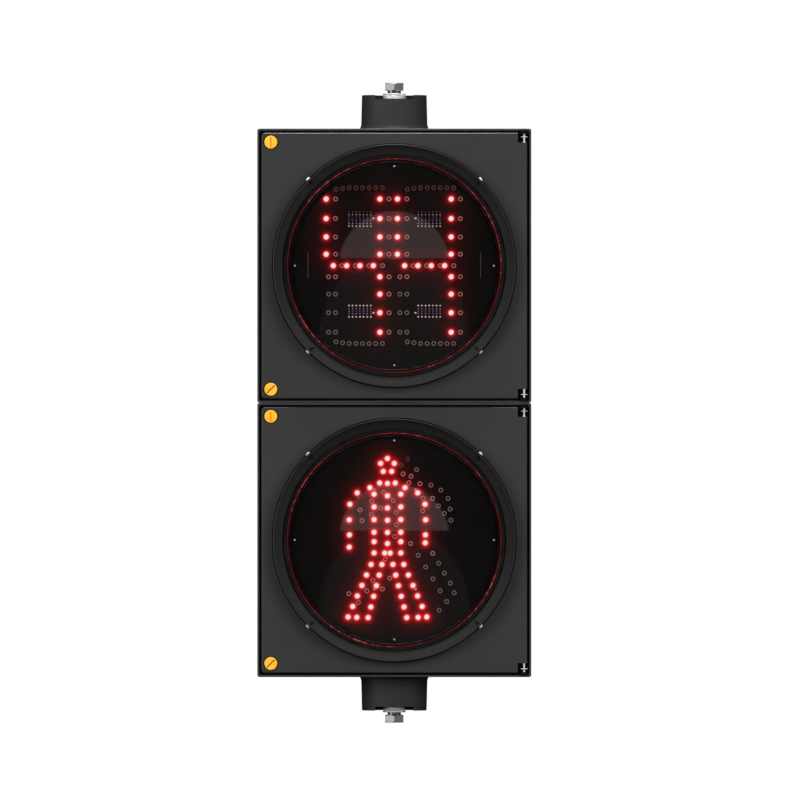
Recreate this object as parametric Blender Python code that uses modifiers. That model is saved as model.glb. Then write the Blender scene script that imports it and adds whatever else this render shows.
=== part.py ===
"""Two-section LED pedestrian signal with clear lenses, hinged doors and bolted end bosses.

Millimetres are used for every size below and turned into metres where a mesh is made.
X is to the right of someone facing the signal, -Y is its front and Z is up. The origin is
the centre of the top boss's end face, on the axis of the clamp bolts.
"""

import math

import bmesh
import bpy
from mathutils import Matrix, Vector

MM = 0.001
GAP = 0.3

# Sections and end bosses.
SECTION_WIDTH = 268.3
SECTION_HEIGHT = 268.6
BOSS_HEIGHT = 33.4
BOSS_RADIUS = 31.75
WALL = 3.0
EDGE_ROUND = 2.0
ROUND_STEPS = 40

# Depths along Y.
RIM_FRONT = -65.0
REAR_FACE = 60.0
LEDGE_FRONT = -57.0
DOOR_FRONT = -68.0
DOOR_BACK = -59.3

# Door opening in the housing.
RIM_THICKNESS = 1.8
LEDGE_HALF_OPENING = 116.0
LEDGE_CHAMFER = 30.0

# Door, its collar and the optical module behind it.
DOOR_HALF = 130.2
DOOR_CORNER = 3.5
DOOR_EDGE_ROUND = 1.2
LENS_RADIUS = 105.0
COLLAR_BORE = 109.0
COLLAR_RADIUS = 118.7
COLLAR_FRONT = 89.0
LENS_RIM_DEPTH = 72.0
LENS_CROWN = 14.0
LENS_THICKNESS = 2.7
FLANGE_RADIUS = 112.0
BOARD_SCREW_CIRCLE = 97.5
VISOR_SCREW_DEPTH = 82.0

# Hinge pins and quarter-turn latches, measured from the section's centre.
HINGE_X = 127.2
HINGE_Y = -64.8
NOTCH_WIDTH = 9.3
NOTCH_HEIGHT = 9.6
PIN_RADIUS = 1.25
RUNNING_CLEARANCE = 0.1
LATCH_X = -120.9
LATCH_Z = 121.0
LATCH_RADIUS = 6.3

# M12 clamp stack.
BOLT_RADIUS = 6.0
HEX_FLATS = 18.0
WASHER_RADIUS = 11.15

SECTION_Z = {
    "upper": -(BOSS_HEIGHT + SECTION_HEIGHT / 2),
    "lower": -(BOSS_HEIGHT + SECTION_HEIGHT * 1.5),
}
BOTTOM_FACE = -(2 * BOSS_HEIGHT + 2 * SECTION_HEIGHT)
QUARTERS = [math.radians(angle) for angle in (45, 135, 225, 315)]
ENDS = (("top", 1), ("bottom", -1))
LATCH_TURN = {"top": math.radians(90), "bottom": math.radians(45)}

MATERIALS = {
    "housing_plastic": ((0.020, 0.020, 0.021), 0.42, 0.0),
    "boss_plastic": ((0.030, 0.030, 0.032), 0.50, 0.0),
    "clear_lens": ((0.80, 0.82, 0.82), 0.05, 0.0),
    "seal_rubber": ((0.008, 0.008, 0.008), 0.75, 0.0),
    "zinc_steel": ((0.55, 0.55, 0.54), 0.32, 1.0),
    "latch_yellow": ((0.86, 0.45, 0.04), 0.38, 0.0),
    "led_circuit": ((0.012, 0.010, 0.010), 0.60, 0.0),
    "green_circuit": ((0.02, 0.13, 0.05), 0.50, 0.0),
    "module_plastic": ((0.10, 0.10, 0.105), 0.55, 0.0),
    "terminal_plastic": ((0.62, 0.60, 0.54), 0.50, 0.0),
    "cable_sheath": ((0.012, 0.012, 0.012), 0.55, 0.0),
    "coupling_plastic": ((0.045, 0.045, 0.048), 0.50, 0.0),
}


# ---- Modelling helpers -------------------------------------------------------------------


def clear_scene():
    for obj in list(bpy.data.objects):
        bpy.data.objects.remove(obj)


def new_collection(name):
    collection = bpy.data.collections.new(name)
    bpy.context.scene.collection.children.link(collection)
    return collection


def material(name):
    found = bpy.data.materials.get(name)
    if found:
        return found
    colour, roughness, metallic = MATERIALS[name]
    made = bpy.data.materials.new(name)
    made.use_nodes = True
    shader = made.node_tree.nodes["Principled BSDF"]
    shader.inputs["Base Color"].default_value = (*colour, 1.0)
    shader.inputs["Roughness"].default_value = roughness
    shader.inputs["Metallic"].default_value = metallic
    return made


def helper(bm, matrix=Matrix()):
    """A helper object from a bmesh in millimetres, moved by a matrix in millimetres."""
    bmesh.ops.transform(bm, matrix=Matrix.Scale(MM, 4) @ matrix, verts=bm.verts)
    bmesh.ops.recalc_face_normals(bm, faces=bm.faces)
    mesh = bpy.data.meshes.new("helper")
    bm.to_mesh(mesh)
    bm.free()
    obj = bpy.data.objects.new("helper", mesh)
    obj.hide_render = True
    obj.display_type = "WIRE"
    CUTTERS.objects.link(obj)
    return obj


def block(low, high, corner=0.0, along=1, rounds=1, matrix=Matrix()):
    """A box between two corners. Its four edges along one axis can be chamfered or rounded."""
    bm = bmesh.new()
    bmesh.ops.create_cube(bm, size=1.0)
    low, high = Vector(low), Vector(high)
    bmesh.ops.scale(bm, vec=high - low, verts=bm.verts)
    bmesh.ops.translate(bm, vec=(low + high) / 2, verts=bm.verts)
    if corner:
        edges = [edge for edge in bm.edges if abs((edge.verts[0].co - edge.verts[1].co)[along]) > 1e-6]
        bmesh.ops.bevel(bm, geom=edges, offset=corner, segments=rounds, profile=0.5, affect="EDGES")
    return helper(bm, matrix)


def rod(radius, start, end, sides=24, matrix=Matrix()):
    """A cylinder from one point to another, with a corner of its section on the local X axis."""
    start, end = Vector(start), Vector(end)
    direction = end - start
    bm = bmesh.new()
    bmesh.ops.create_cone(
        bm, cap_ends=True, segments=sides, radius1=radius, radius2=radius, depth=direction.length
    )
    turn = direction.to_track_quat("Z", "Y").to_matrix().to_4x4()
    return helper(bm, matrix @ Matrix.Translation((start + end) / 2) @ turn)


def turned(profile, steps, towards_front=True, centre_z=0.0, closed=True):
    """A turned solid from (radius, height) points that run down its outer side.

    Height is measured towards the front of the signal, or upwards if towards_front is False.
    A profile that isn't closed starts and ends on the axis.
    """
    mesh = bpy.data.meshes.new("profile")
    ends = [(i, i + 1) for i in range(len(profile) - 1)]
    if closed:
        ends.append((len(profile) - 1, 0))
    mesh.from_pydata([(radius * MM, 0, height * MM) for radius, height in profile], ends, [])
    obj = bpy.data.objects.new("helper", mesh)
    CUTTERS.objects.link(obj)
    screw = obj.modifiers.new("turn", "SCREW")
    screw.axis = "Z"
    screw.steps = screw.render_steps = steps
    screw.use_merge_vertices = True
    screw.merge_threshold = 1e-6
    if towards_front:
        obj.rotation_euler = (math.radians(90), 0, 0)
    obj.location = (0, 0, centre_z * MM)
    return settle(obj)


def settle(obj):
    """Replaces an object's modifiers, curve or transform with the plain mesh that they give."""
    bpy.context.view_layer.update()
    graph = bpy.context.evaluated_depsgraph_get()
    evaluated = obj.evaluated_get(graph)
    mesh = bpy.data.meshes.new_from_object(evaluated, depsgraph=graph)
    mesh.transform(obj.matrix_world)
    bm = bmesh.new()
    bm.from_mesh(mesh)
    bmesh.ops.remove_doubles(bm, verts=bm.verts, dist=1e-7)
    bm.to_mesh(mesh)
    bm.free()
    plain = bpy.data.objects.new("helper", mesh)
    plain.hide_render = True
    plain.display_type = "WIRE"
    CUTTERS.objects.link(plain)
    bpy.data.objects.remove(obj)
    return plain


def combined(body, operation, tools):
    """The body after a Boolean with each tool in turn. The tools are used up."""
    for tool in tools:
        boolean = body.modifiers.new(operation, "BOOLEAN")
        boolean.operation = operation
        boolean.solver = "EXACT"
        boolean.object = tool
    result = settle(body)
    for tool in tools:
        bpy.data.objects.remove(tool)
    return result


def welded(body, *tools):
    return combined(body, "UNION", tools)


def carved(body, *tools):
    return combined(body, "DIFFERENCE", tools)


def cable(points, radius):
    """A round cable through the points, as a curve with closed ends."""
    curve = bpy.data.curves.new("cable", "CURVE")
    curve.dimensions = "3D"
    curve.bevel_depth = radius * MM
    curve.bevel_resolution = 1
    curve.resolution_u = 3
    curve.use_fill_caps = True
    spline = curve.splines.new("BEZIER")
    spline.bezier_points.add(len(points) - 1)
    for point, place in zip(spline.bezier_points, points):
        point.co = Vector(place) * MM
        point.handle_left_type = point.handle_right_type = "AUTO"
    obj = bpy.data.objects.new("helper", curve)
    CUTTERS.objects.link(obj)
    return settle(obj)


def part(name, body, slot, pivot=None):
    """Makes a helper a named part of the signal, hung from the pivot that it turns on."""
    body.name = body.data.name = name
    body.hide_render = False
    body.display_type = "TEXTURED"
    CUTTERS.objects.unlink(body)
    SIGNAL.objects.link(body)
    body.data.materials.clear()
    body.data.materials.append(material(slot))
    body.data.shade_smooth()
    body.data.set_sharp_from_angle(angle=math.radians(32))
    if pivot:
        body.parent = pivot
        body.matrix_parent_inverse = pivot.matrix_world.inverted()
    return body


def pivot_at(name, place, parent=None):
    pivot = bpy.data.objects.new(name, None)
    pivot.empty_display_size = 0.02
    pivot.location = Vector(place) * MM
    SIGNAL.objects.link(pivot)
    bpy.context.view_layer.update()
    if parent:
        pivot.parent = parent
        pivot.matrix_parent_inverse = parent.matrix_world.inverted()
        bpy.context.view_layer.update()
    return pivot


def about(centre_z, angle):
    """A turn about the Y axis through a section's centre."""
    return Matrix.Translation((0, 0, centre_z)) @ Matrix.Rotation(angle, 4, "Y")


def latch_matrix(centre_z, end, sign):
    """Places a latch detail modelled about the Y axis, at the angle its slot rests at."""
    place = Matrix.Translation((LATCH_X, 0, centre_z + sign * LATCH_Z))
    return place @ Matrix.Rotation(-LATCH_TURN[end], 4, "Y")


def box_about(centre_z, half_x, half_z, front, back, **options):
    """A box centred on a section, half_x and half_z to each side, between two depths."""
    return block((-half_x, front, centre_z - half_z), (half_x, back, centre_z + half_z), **options)


# ---- Housing -----------------------------------------------------------------------------


def hinge_lug(centre_z, sign):
    """The moulded eye in a corner of the housing that holds one hinge pin."""
    inner, outer = (centre_z + sign * z for z in (129.2, 132.8))
    low, high = min(inner, outer), max(inner, outer)
    eye = rod(4.2, (HINGE_X, HINGE_Y, low), (HINGE_X, HINGE_Y, high), sides=16)
    web = block((HINGE_X - 4.0, HINGE_Y, low), (132.6, LEDGE_FRONT + 1, high))
    return welded(eye, web)


def pin_hole(centre_z, sign, start, end):
    radius = PIN_RADIUS + RUNNING_CLEARANCE
    return rod(
        radius,
        (HINGE_X, HINGE_Y, centre_z + sign * start),
        (HINGE_X, HINGE_Y, centre_z + sign * end),
        sides=12,
    )


def keyhole(centre_z, end, sign):
    """The slot in the ledge that a latch's ears pass through."""
    matrix = latch_matrix(centre_z, end, sign)
    slot = block((-7.4, LEDGE_FRONT - 1, -2.2), (7.4, LEDGE_FRONT + WALL + 1, 2.2), matrix=matrix)
    eye = rod(3.6, (0, LEDGE_FRONT - 1, 0), (0, LEDGE_FRONT + WALL + 1, 0), 12, matrix)
    return welded(slot, eye)


def housing(section):
    z = SECTION_Z[section]
    half_width, half_height = SECTION_WIDTH / 2, (SECTION_HEIGHT - GAP) / 2
    bm = bmesh.new()
    bmesh.ops.create_cube(bm, size=1.0)
    bmesh.ops.scale(bm, vec=(2 * half_width, REAR_FACE - RIM_FRONT, 2 * half_height), verts=bm.verts)
    bmesh.ops.translate(bm, vec=(0, (REAR_FACE + RIM_FRONT) / 2, z), verts=bm.verts)
    rear = [edge for edge in bm.edges if all(vert.co.y > 0 for vert in edge.verts)]
    sides = [edge for edge in bm.edges if abs((edge.verts[0].co - edge.verts[1].co).y) > 1]
    bmesh.ops.bevel(
        bm, geom=list(set(rear + sides)), offset=EDGE_ROUND, segments=2, profile=0.5, affect="EDGES"
    )
    shell = helper(bm)
    recess = half_width - RIM_THICKNESS
    recess_height = half_height - RIM_THICKNESS
    cavity = half_width - WALL
    cavity_height = half_height - WALL
    opening = LEDGE_HALF_OPENING
    cutters = [
        box_about(z, recess, recess_height, RIM_FRONT - 5, LEDGE_FRONT),
        box_about(z, cavity, cavity_height, LEDGE_FRONT + WALL, REAR_FACE - WALL),
        box_about(z, opening, opening, LEDGE_FRONT - 2, LEDGE_FRONT + WALL + 2, corner=LEDGE_CHAMFER),
    ]
    for end, sign in ENDS:
        cutters.append(keyhole(z, end, sign))
        boss_end = (section == "upper") == (sign > 0)
        radius = 11.3 if boss_end else 19.3
        wall_z = z + sign * half_height
        cutters.append(rod(radius, (0, 0, wall_z - 6), (0, 0, wall_z + 6), sides=24))
    if section == "lower":
        cutters.append(rod(10.3, (0, REAR_FACE - 6, z - 70), (0, REAR_FACE + 6, z - 70), sides=24))
    shell = carved(shell, *cutters)
    shell = welded(shell, *(hinge_lug(z, sign) for _, sign in ENDS))
    shell = carved(shell, *(pin_hole(z, sign, 120.0, 131.4) for _, sign in ENDS))
    part(f"{section}_housing", shell, "housing_plastic")


def hinge_pins(section):
    z = SECTION_Z[section]
    for end, sign in ENDS:
        places = [(HINGE_X, HINGE_Y, z + sign * height) for height in (102.6, 131.1)]
        ring = [(HINGE_X, HINGE_Y, z + sign * height) for height in (125.8, 126.5)]
        pin = welded(rod(PIN_RADIUS, *places, sides=12), rod(3.5, *ring, sides=12))
        part(f"{section}_hinge_pin_{end}", pin, "zinc_steel")


def door_gasket(section):
    z = SECTION_Z[section]
    front, back = DOOR_BACK + GAP, LEDGE_FRONT - GAP
    outer = box_about(z, 121.0, 121.0, front, back, corner=LEDGE_CHAMFER)
    inner = box_about(z, 117.0, 117.0, front - 1, back + 1, corner=LEDGE_CHAMFER)
    part(f"{section}_door_gasket", carved(outer, inner), "seal_rubber")


def terminal_block(section):
    z = SECTION_Z[section]
    back = REAR_FACE - WALL - GAP
    body = block((-40, 42, z - 10), (40, back, z + 10), corner=2.0, along=1)
    cutters = []
    for index in range(6):
        x = -32.5 + 13 * index
        for side in (-5, 5):
            cutters.append(rod(2.4, (x, 41, z + side), (x, 45, z + side), sides=6))
    part(f"{section}_terminal_block", carved(body, *cutters), "terminal_plastic")


def house_lead(section):
    z = SECTION_Z[section]
    points = [(112, -4, z), (109, 22, z), (90, 42, z), (62, 48, z), (40.4, 49, z)]
    part(f"{section}_supply_lead", cable(points, 3.0), "cable_sheath")


def cable_grommet():
    z = SECTION_Z["lower"] - 70
    back, wall_in, wall_out = REAR_FACE + 3.3, REAR_FACE - WALL - GAP, REAR_FACE + GAP
    profile = [
        (5, -(wall_in - 3)),
        (13, -(wall_in - 3)),
        (13, -wall_in),
        (10, -wall_in),
        (10, -wall_out),
        (13, -wall_out),
        (11.5, -back),
        (5, -back),
    ]
    part("cable_grommet", turned(profile, 24, centre_z=z), "seal_rubber")


# ---- Bosses, clamp bolts and the coupling between the sections ---------------------------


def stack_height(end, height):
    """The Z of a height above an end face, measured outwards from the signal."""
    return height if end == "top" else BOTTOM_FACE - height


def end_profile(end, profile):
    """A profile given outwards from an end face, turned over for the bottom end."""
    placed = [(radius, stack_height(end, height)) for radius, height in profile]
    return placed if end == "top" else placed[::-1]


def boss(end):
    base = -(BOSS_HEIGHT - GAP)
    profile = [
        (6.6, 0),
        (BOSS_RADIUS - 0.8, 0),
        (BOSS_RADIUS, -0.8),
        (BOSS_RADIUS + 0.95, base + 4.0),
        (BOSS_RADIUS + 1.3, base + 1.5),
        (BOSS_RADIUS + 2.15, base),
        (30.0, base),
        (28.5, -12),
        (11.0, -12),
        (11.0, base - 2.8),
        (6.6, base - 2.8),
    ]
    body = turned(end_profile(end, profile), 30, towards_front=False)
    low, high = sorted((stack_height(end, -4), stack_height(end, 2)))
    slot = block((-18.7, -40, low), (18.7, 26, high))
    part(f"{end}_boss", carved(body, slot), "boss_plastic")


def washers(end):
    for name, low, high in (("steel", -3.7, -0.2), ("lock", 0.1, 1.8)):
        profile = [(6.5, high), (WASHER_RADIUS, high), (WASHER_RADIUS, low), (6.5, low)]
        ring = turned(end_profile(end, profile), 20, towards_front=False)
        part(f"{end}_{name}_washer", ring, "zinc_steel")


def hexagon(flats, z_low, z_high):
    return rod(flats / math.sqrt(3), (0, 0, z_low), (0, 0, z_high), 6)


def clamp_bolt(end):
    head = hexagon(HEX_FLATS, *sorted(stack_height(end, height) for height in (4.4, 11.9)))
    collar = rod(6.6, (0, 0, stack_height(end, 2.1)), (0, 0, stack_height(end, 5)), 24)
    shank = rod(BOLT_RADIUS, (0, 0, stack_height(end, -56)), (0, 0, stack_height(end, 3)), 24)
    part(f"{end}_clamp_bolt", welded(shank, collar, head), "zinc_steel")


def nut_plate(end):
    top = -(BOSS_HEIGHT + WALL + GAP)
    plate_low, plate_high = sorted(stack_height(end, height) for height in (top - 5, top))
    nut_low, nut_high = sorted(stack_height(end, height) for height in (top - 15.8, top - 4))
    plate = block((-25, -25, plate_low), (25, 25, plate_high), corner=6, along=2)
    plate = welded(plate, hexagon(HEX_FLATS, nut_low, nut_high))
    bore = rod(6.4, (0, 0, min(plate_low, nut_low) - 5), (0, 0, max(plate_high, nut_high) + 5), 24)
    part(f"{end}_nut_plate", carved(plate, bore), "zinc_steel")


def section_coupling():
    seam = -(BOSS_HEIGHT + SECTION_HEIGHT)
    flange_low = seam + WALL + 2 * GAP
    profile = [
        (15, flange_low + 4),
        (26, flange_low + 4),
        (26, flange_low),
        (19, flange_low),
        (19, seam - 20),
        (15, seam - 20),
    ]
    part("coupling_sleeve", turned(profile, 30, towards_front=False), "coupling_plastic")
    nut_high = seam - WALL - 2 * GAP
    nut = hexagon(50.0, nut_high - 9, nut_high)
    bore = rod(19.3, (0, 0, nut_high - 15), (0, 0, nut_high + 5), 30)
    part("coupling_nut", carved(nut, bore), "coupling_plastic")


# ---- Door --------------------------------------------------------------------------------


def collar(z):
    """The round raised ring in front of the door, with a tapered bore and a rounded lip."""
    root = -DOOR_FRONT - WALL + 0.2
    profile = [
        (COLLAR_BORE, root),
        (COLLAR_BORE, -DOOR_FRONT),
        (114.5, COLLAR_FRONT - 1.5),
        (115.5, COLLAR_FRONT),
        (117.3, COLLAR_FRONT),
        (COLLAR_RADIUS - 0.3, COLLAR_FRONT - 2.0),
        (COLLAR_RADIUS, root),
    ]
    return turned(profile, ROUND_STEPS, centre_z=z)


def door_tray(z):
    bm = bmesh.new()
    bmesh.ops.create_cube(bm, size=1.0)
    bmesh.ops.scale(bm, vec=(2 * DOOR_HALF, DOOR_BACK - DOOR_FRONT, 2 * DOOR_HALF), verts=bm.verts)
    bmesh.ops.translate(bm, vec=(0, (DOOR_BACK + DOOR_FRONT) / 2, z), verts=bm.verts)
    upright = [edge for edge in bm.edges if abs((edge.verts[0].co - edge.verts[1].co).y) > 1]
    bmesh.ops.bevel(bm, geom=upright, offset=DOOR_CORNER, segments=3, profile=0.5, affect="EDGES")
    front = [edge for edge in bm.edges if all(vert.co.y < DOOR_FRONT + 0.01 for vert in edge.verts)]
    bmesh.ops.bevel(bm, geom=front, offset=DOOR_EDGE_ROUND, segments=2, profile=0.5, affect="EDGES")
    inside = DOOR_HALF - WALL
    hollow = box_about(z, inside, inside, DOOR_FRONT + WALL, DOOR_BACK + 2)
    opening = rod(COLLAR_BORE + 4, (0, DOOR_FRONT - 4, z), (0, DOOR_FRONT + 6, z), ROUND_STEPS)
    return carved(helper(bm), hollow, opening)


def gasket_rib(z):
    outer = box_about(z, 120.5, 120.5, DOOR_FRONT + 2, DOOR_BACK, corner=LEDGE_CHAMFER)
    inner = box_about(z, 117.5, 117.5, DOOR_FRONT + 1, DOOR_BACK + 1, corner=LEDGE_CHAMFER)
    return carved(outer, inner)


def module_hook(z, angle):
    """A snap hook moulded on the back of the door, which holds the optical module's flange."""
    matrix = about(z, angle)
    stem = block((FLANGE_RADIUS + 0.4, -65.6, -7), (FLANGE_RADIUS + 3.4, -52.6, 7), matrix=matrix)
    barb = block((FLANGE_RADIUS - 3, -54.9, -6.9), (FLANGE_RADIUS + 3.2, -52.4, 6.9), matrix=matrix)
    return welded(stem, barb)


def knuckle(z, sign):
    low, high = sorted((z + sign * 98, z + sign * 128))
    return block((117.9, DOOR_FRONT + 2, low), (128, DOOR_BACK - 0.3, high))


def hinge_notch(z, sign):
    low, high = sorted((z + sign * (DOOR_HALF - NOTCH_HEIGHT), z + sign * (DOOR_HALF + 5)))
    return block((DOOR_HALF - NOTCH_WIDTH, DOOR_FRONT - 5, low), (DOOR_HALF + 5, DOOR_BACK + 5, high))


def door(section, pivot):
    z = SECTION_Z[section]
    additions = [gasket_rib(z)]
    additions += [module_hook(z, angle) for angle in QUARTERS]
    additions += [knuckle(z, sign) for _, sign in ENDS]
    for _, sign in ENDS:
        place = (LATCH_X, LATCH_Z * sign + z)
        additions.append(rod(8.9, (place[0], DOOR_FRONT + 2, place[1]), (place[0], -60, place[1]), 20))
    body = welded(door_tray(z), *additions)
    body = welded(body, collar(z))
    cutters = []
    for _, sign in ENDS:
        place_z = z + sign * LATCH_Z
        cutters.append(rod(7.5, (LATCH_X, DOOR_FRONT - 5, place_z), (LATCH_X, -65, place_z), 20))
        cutters.append(rod(3.3, (LATCH_X, DOOR_FRONT - 2, place_z), (LATCH_X, -55, place_z), 12))
        cutters.append(hinge_notch(z, sign))
        cutters.append(pin_hole(z, sign, 90, 122))
    for angle in QUARTERS:
        hole = ((105, -VISOR_SCREW_DEPTH, 0), (125, -VISOR_SCREW_DEPTH, 0))
        cutters.append(rod(1.8, *hole, sides=8, matrix=about(z, angle)))
    part(f"{section}_door", carved(body, *cutters), "housing_plastic", pivot)


def visor_screws(section, pivot):
    z = SECTION_Z[section]
    for index, angle in enumerate(QUARTERS):
        matrix = about(z, angle)
        shank = rod(1.5, (112.2, -VISOR_SCREW_DEPTH, 0), (119.5, -VISOR_SCREW_DEPTH, 0), 8, matrix)
        head = rod(2.4, (119.0, -VISOR_SCREW_DEPTH, 0), (120.8, -VISOR_SCREW_DEPTH, 0), 10, matrix)
        part(f"{section}_visor_screw_{index + 1}", welded(shank, head), "zinc_steel", pivot)


def latches(section, pivots):
    z = SECTION_Z[section]
    for end, sign in ENDS:
        matrix = latch_matrix(z, end, sign)
        head = rod(LATCH_RADIUS, (0, -68.4, 0), (0, -65.3, 0), 20, matrix)
        shank = rod(3.0, (0, -66, 0), (0, -51.4, 0), 12, matrix)
        ears = block((-6.5, -53.7, -1.5), (6.5, -51.0, 1.5), matrix=matrix)
        slot = block((-5.4, -70, -0.9), (5.4, -66.8, 0.9), matrix=matrix)
        body = carved(welded(head, shank, ears), slot)
        part(f"{section}_latch_{end}", body, "latch_yellow", pivots[end])


# ---- Optical module ----------------------------------------------------------------------


def dome(radius, crown_height, rim_height, count):
    """Points of a shallow dome, from its crown on the axis to its rim."""
    sphere = (radius**2 + crown_height**2) / (2 * crown_height)
    reach = math.asin(radius / sphere)
    centre = rim_height + crown_height - sphere
    angles = [reach * step / count for step in range(count + 1)]
    return [(sphere * math.sin(angle), centre + sphere * math.cos(angle)) for angle in angles]


def lens(section, pivot):
    z = SECTION_Z[section]
    outer = dome(LENS_RADIUS, LENS_CROWN, LENS_RIM_DEPTH, 4)
    inner_radius = LENS_RADIUS - LENS_THICKNESS
    inner = dome(inner_radius, LENS_CROWN - 0.6, LENS_RIM_DEPTH - 2.1, 4)
    flange = [(LENS_RADIUS, 61.5), (FLANGE_RADIUS, 61.5), (FLANGE_RADIUS, 58.5), (inner_radius, 58.5)]
    profile = outer + flange + inner[::-1]
    part(f"{section}_lens", turned(profile, ROUND_STEPS, centre_z=z, closed=False), "clear_lens", pivot)


def lens_seal(section, pivot):
    inner, outer = LENS_RADIUS + GAP, COLLAR_BORE - GAP
    profile = [
        (inner, 71.5),
        (outer, 71.5),
        (outer, 64.7),
        (FLANGE_RADIUS, 64.7),
        (FLANGE_RADIUS, 61.8),
        (inner, 61.8),
    ]
    seal = turned(profile, ROUND_STEPS, centre_z=SECTION_Z[section])
    part(f"{section}_lens_seal", seal, "seal_rubber", pivot)


def board_screw_places():
    return [math.radians(90 * step) for step in range(4)]


def led_board(section, pivot):
    z = SECTION_Z[section]
    body = rod(101.8, (0, -60.1, z), (0, -58.5, z), ROUND_STEPS)
    holes = []
    for angle in board_screw_places():
        ends = ((BOARD_SCREW_CIRCLE, -64, 0), (BOARD_SCREW_CIRCLE, -55, 0))
        holes.append(rod(1.8, *ends, sides=8, matrix=about(z, angle)))
    part(f"{section}_led_board", carved(body, *holes), "led_circuit", pivot)


def board_screws(section, pivot):
    z = SECTION_Z[section]
    for index, angle in enumerate(board_screw_places()):
        matrix = about(z, angle)
        centre = BOARD_SCREW_CIRCLE
        shank = rod(1.5, (centre, -61, 0), (centre, -51, 0), 8, matrix)
        head = rod(2.6, (centre, -62.3, 0), (centre, -60.4, 0), 10, matrix)
        part(f"{section}_board_screw_{index + 1}", welded(shank, head), "zinc_steel", pivot)


def module_bowl(section, pivot):
    z = SECTION_Z[section]
    profile = [
        (0, -2),
        (58, -2),
        (97, 30),
        (97, 46),
        (93.5, 50),
        (93.5, 58.2),
        (FLANGE_RADIUS, 58.2),
        (FLANGE_RADIUS, 55.2),
        (100, 55.2),
        (100, 30),
        (61, -5),
        (0, -5),
    ]
    body = turned(profile, ROUND_STEPS, centre_z=z, closed=False)
    posts = [rod(3.5, (x, 3.5, z + y), (x, -4.1, z + y), 12) for x in (-48, 48) for y in (-25, 25)]
    body = welded(body, *posts)
    holes = [rod(5.0, (20, -4, z), (20, 8, z), 20)]
    for angle in board_screw_places():
        ends = ((BOARD_SCREW_CIRCLE, -60, 0), (BOARD_SCREW_CIRCLE, -50.2, 0))
        holes.append(rod(1.8, *ends, sides=8, matrix=about(z, angle)))
    part(f"{section}_module_bowl", carved(body, *holes), "module_plastic", pivot)


def driver_board(section, pivot):
    z = SECTION_Z[section]
    board = block((-55, -6.0, z - 32), (55, -4.4, z + 32), corner=2)
    transformer = block((-40, -28, z - 20), (-12, -5.5, z + 4), corner=2, along=1)
    relay = block((0, -20, z - 26), (30, -5.5, z - 12))
    sink = block((36, -26, z - 24), (40, -5.5, z + 24))
    capacitors = [rod(8, (x, -27, z + 18), (x, -5.5, z + 18), 16) for x in (-36, -14)]
    body = welded(board, transformer, relay, sink, *capacitors)
    part(f"{section}_driver_board", body, "green_circuit", pivot)


def module_lead(section, pivot):
    z = SECTION_Z[section]
    points = [(20, -3.6, z), (20, 8, z), (24, 14, z), (60, 18, z), (92, 8, z), (104, -4, z)]
    part(f"{section}_module_lead", cable(points, 3.0), "cable_sheath", pivot)


def hinged_door(section):
    """A door and all that swings with it about the hinge pins, and the latches that turn in it."""
    z = SECTION_Z[section]
    pivot = pivot_at(f"{section}_door_pivot", (HINGE_X, HINGE_Y, z))
    for build in (
        door, visor_screws, lens, lens_seal, led_board, board_screws, module_bowl, driver_board, module_lead
    ):
        build(section, pivot)
    latch_pivots = {}
    for end, sign in ENDS:
        place = (LATCH_X, DOOR_FRONT, z + sign * LATCH_Z)
        latch_pivots[end] = pivot_at(f"{section}_latch_{end}_pivot", place, pivot)
    latches(section, latch_pivots)


clear_scene()
SIGNAL = new_collection("pedestrian_signal")
CUTTERS = new_collection("cutters")
CUTTERS.hide_render = True
for section_name in ("upper", "lower"):
    housing(section_name)
    hinge_pins(section_name)
    door_gasket(section_name)
    terminal_block(section_name)
    house_lead(section_name)
    hinged_door(section_name)
cable_grommet()
section_coupling()
for end_name in ("top", "bottom"):
    boss(end_name)
    washers(end_name)
    clamp_bolt(end_name)
    nut_plate(end_name)
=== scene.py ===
"""The looks of the pedestrian signal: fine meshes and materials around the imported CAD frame.

Sizes are in millimetres until a mesh is made. Heights of turned shapes are measured towards
the front of the signal (-Y) unless the shape stands upright.
"""

import itertools
import math

import bmesh
import bpy
from mathutils import Matrix, Vector


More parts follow.
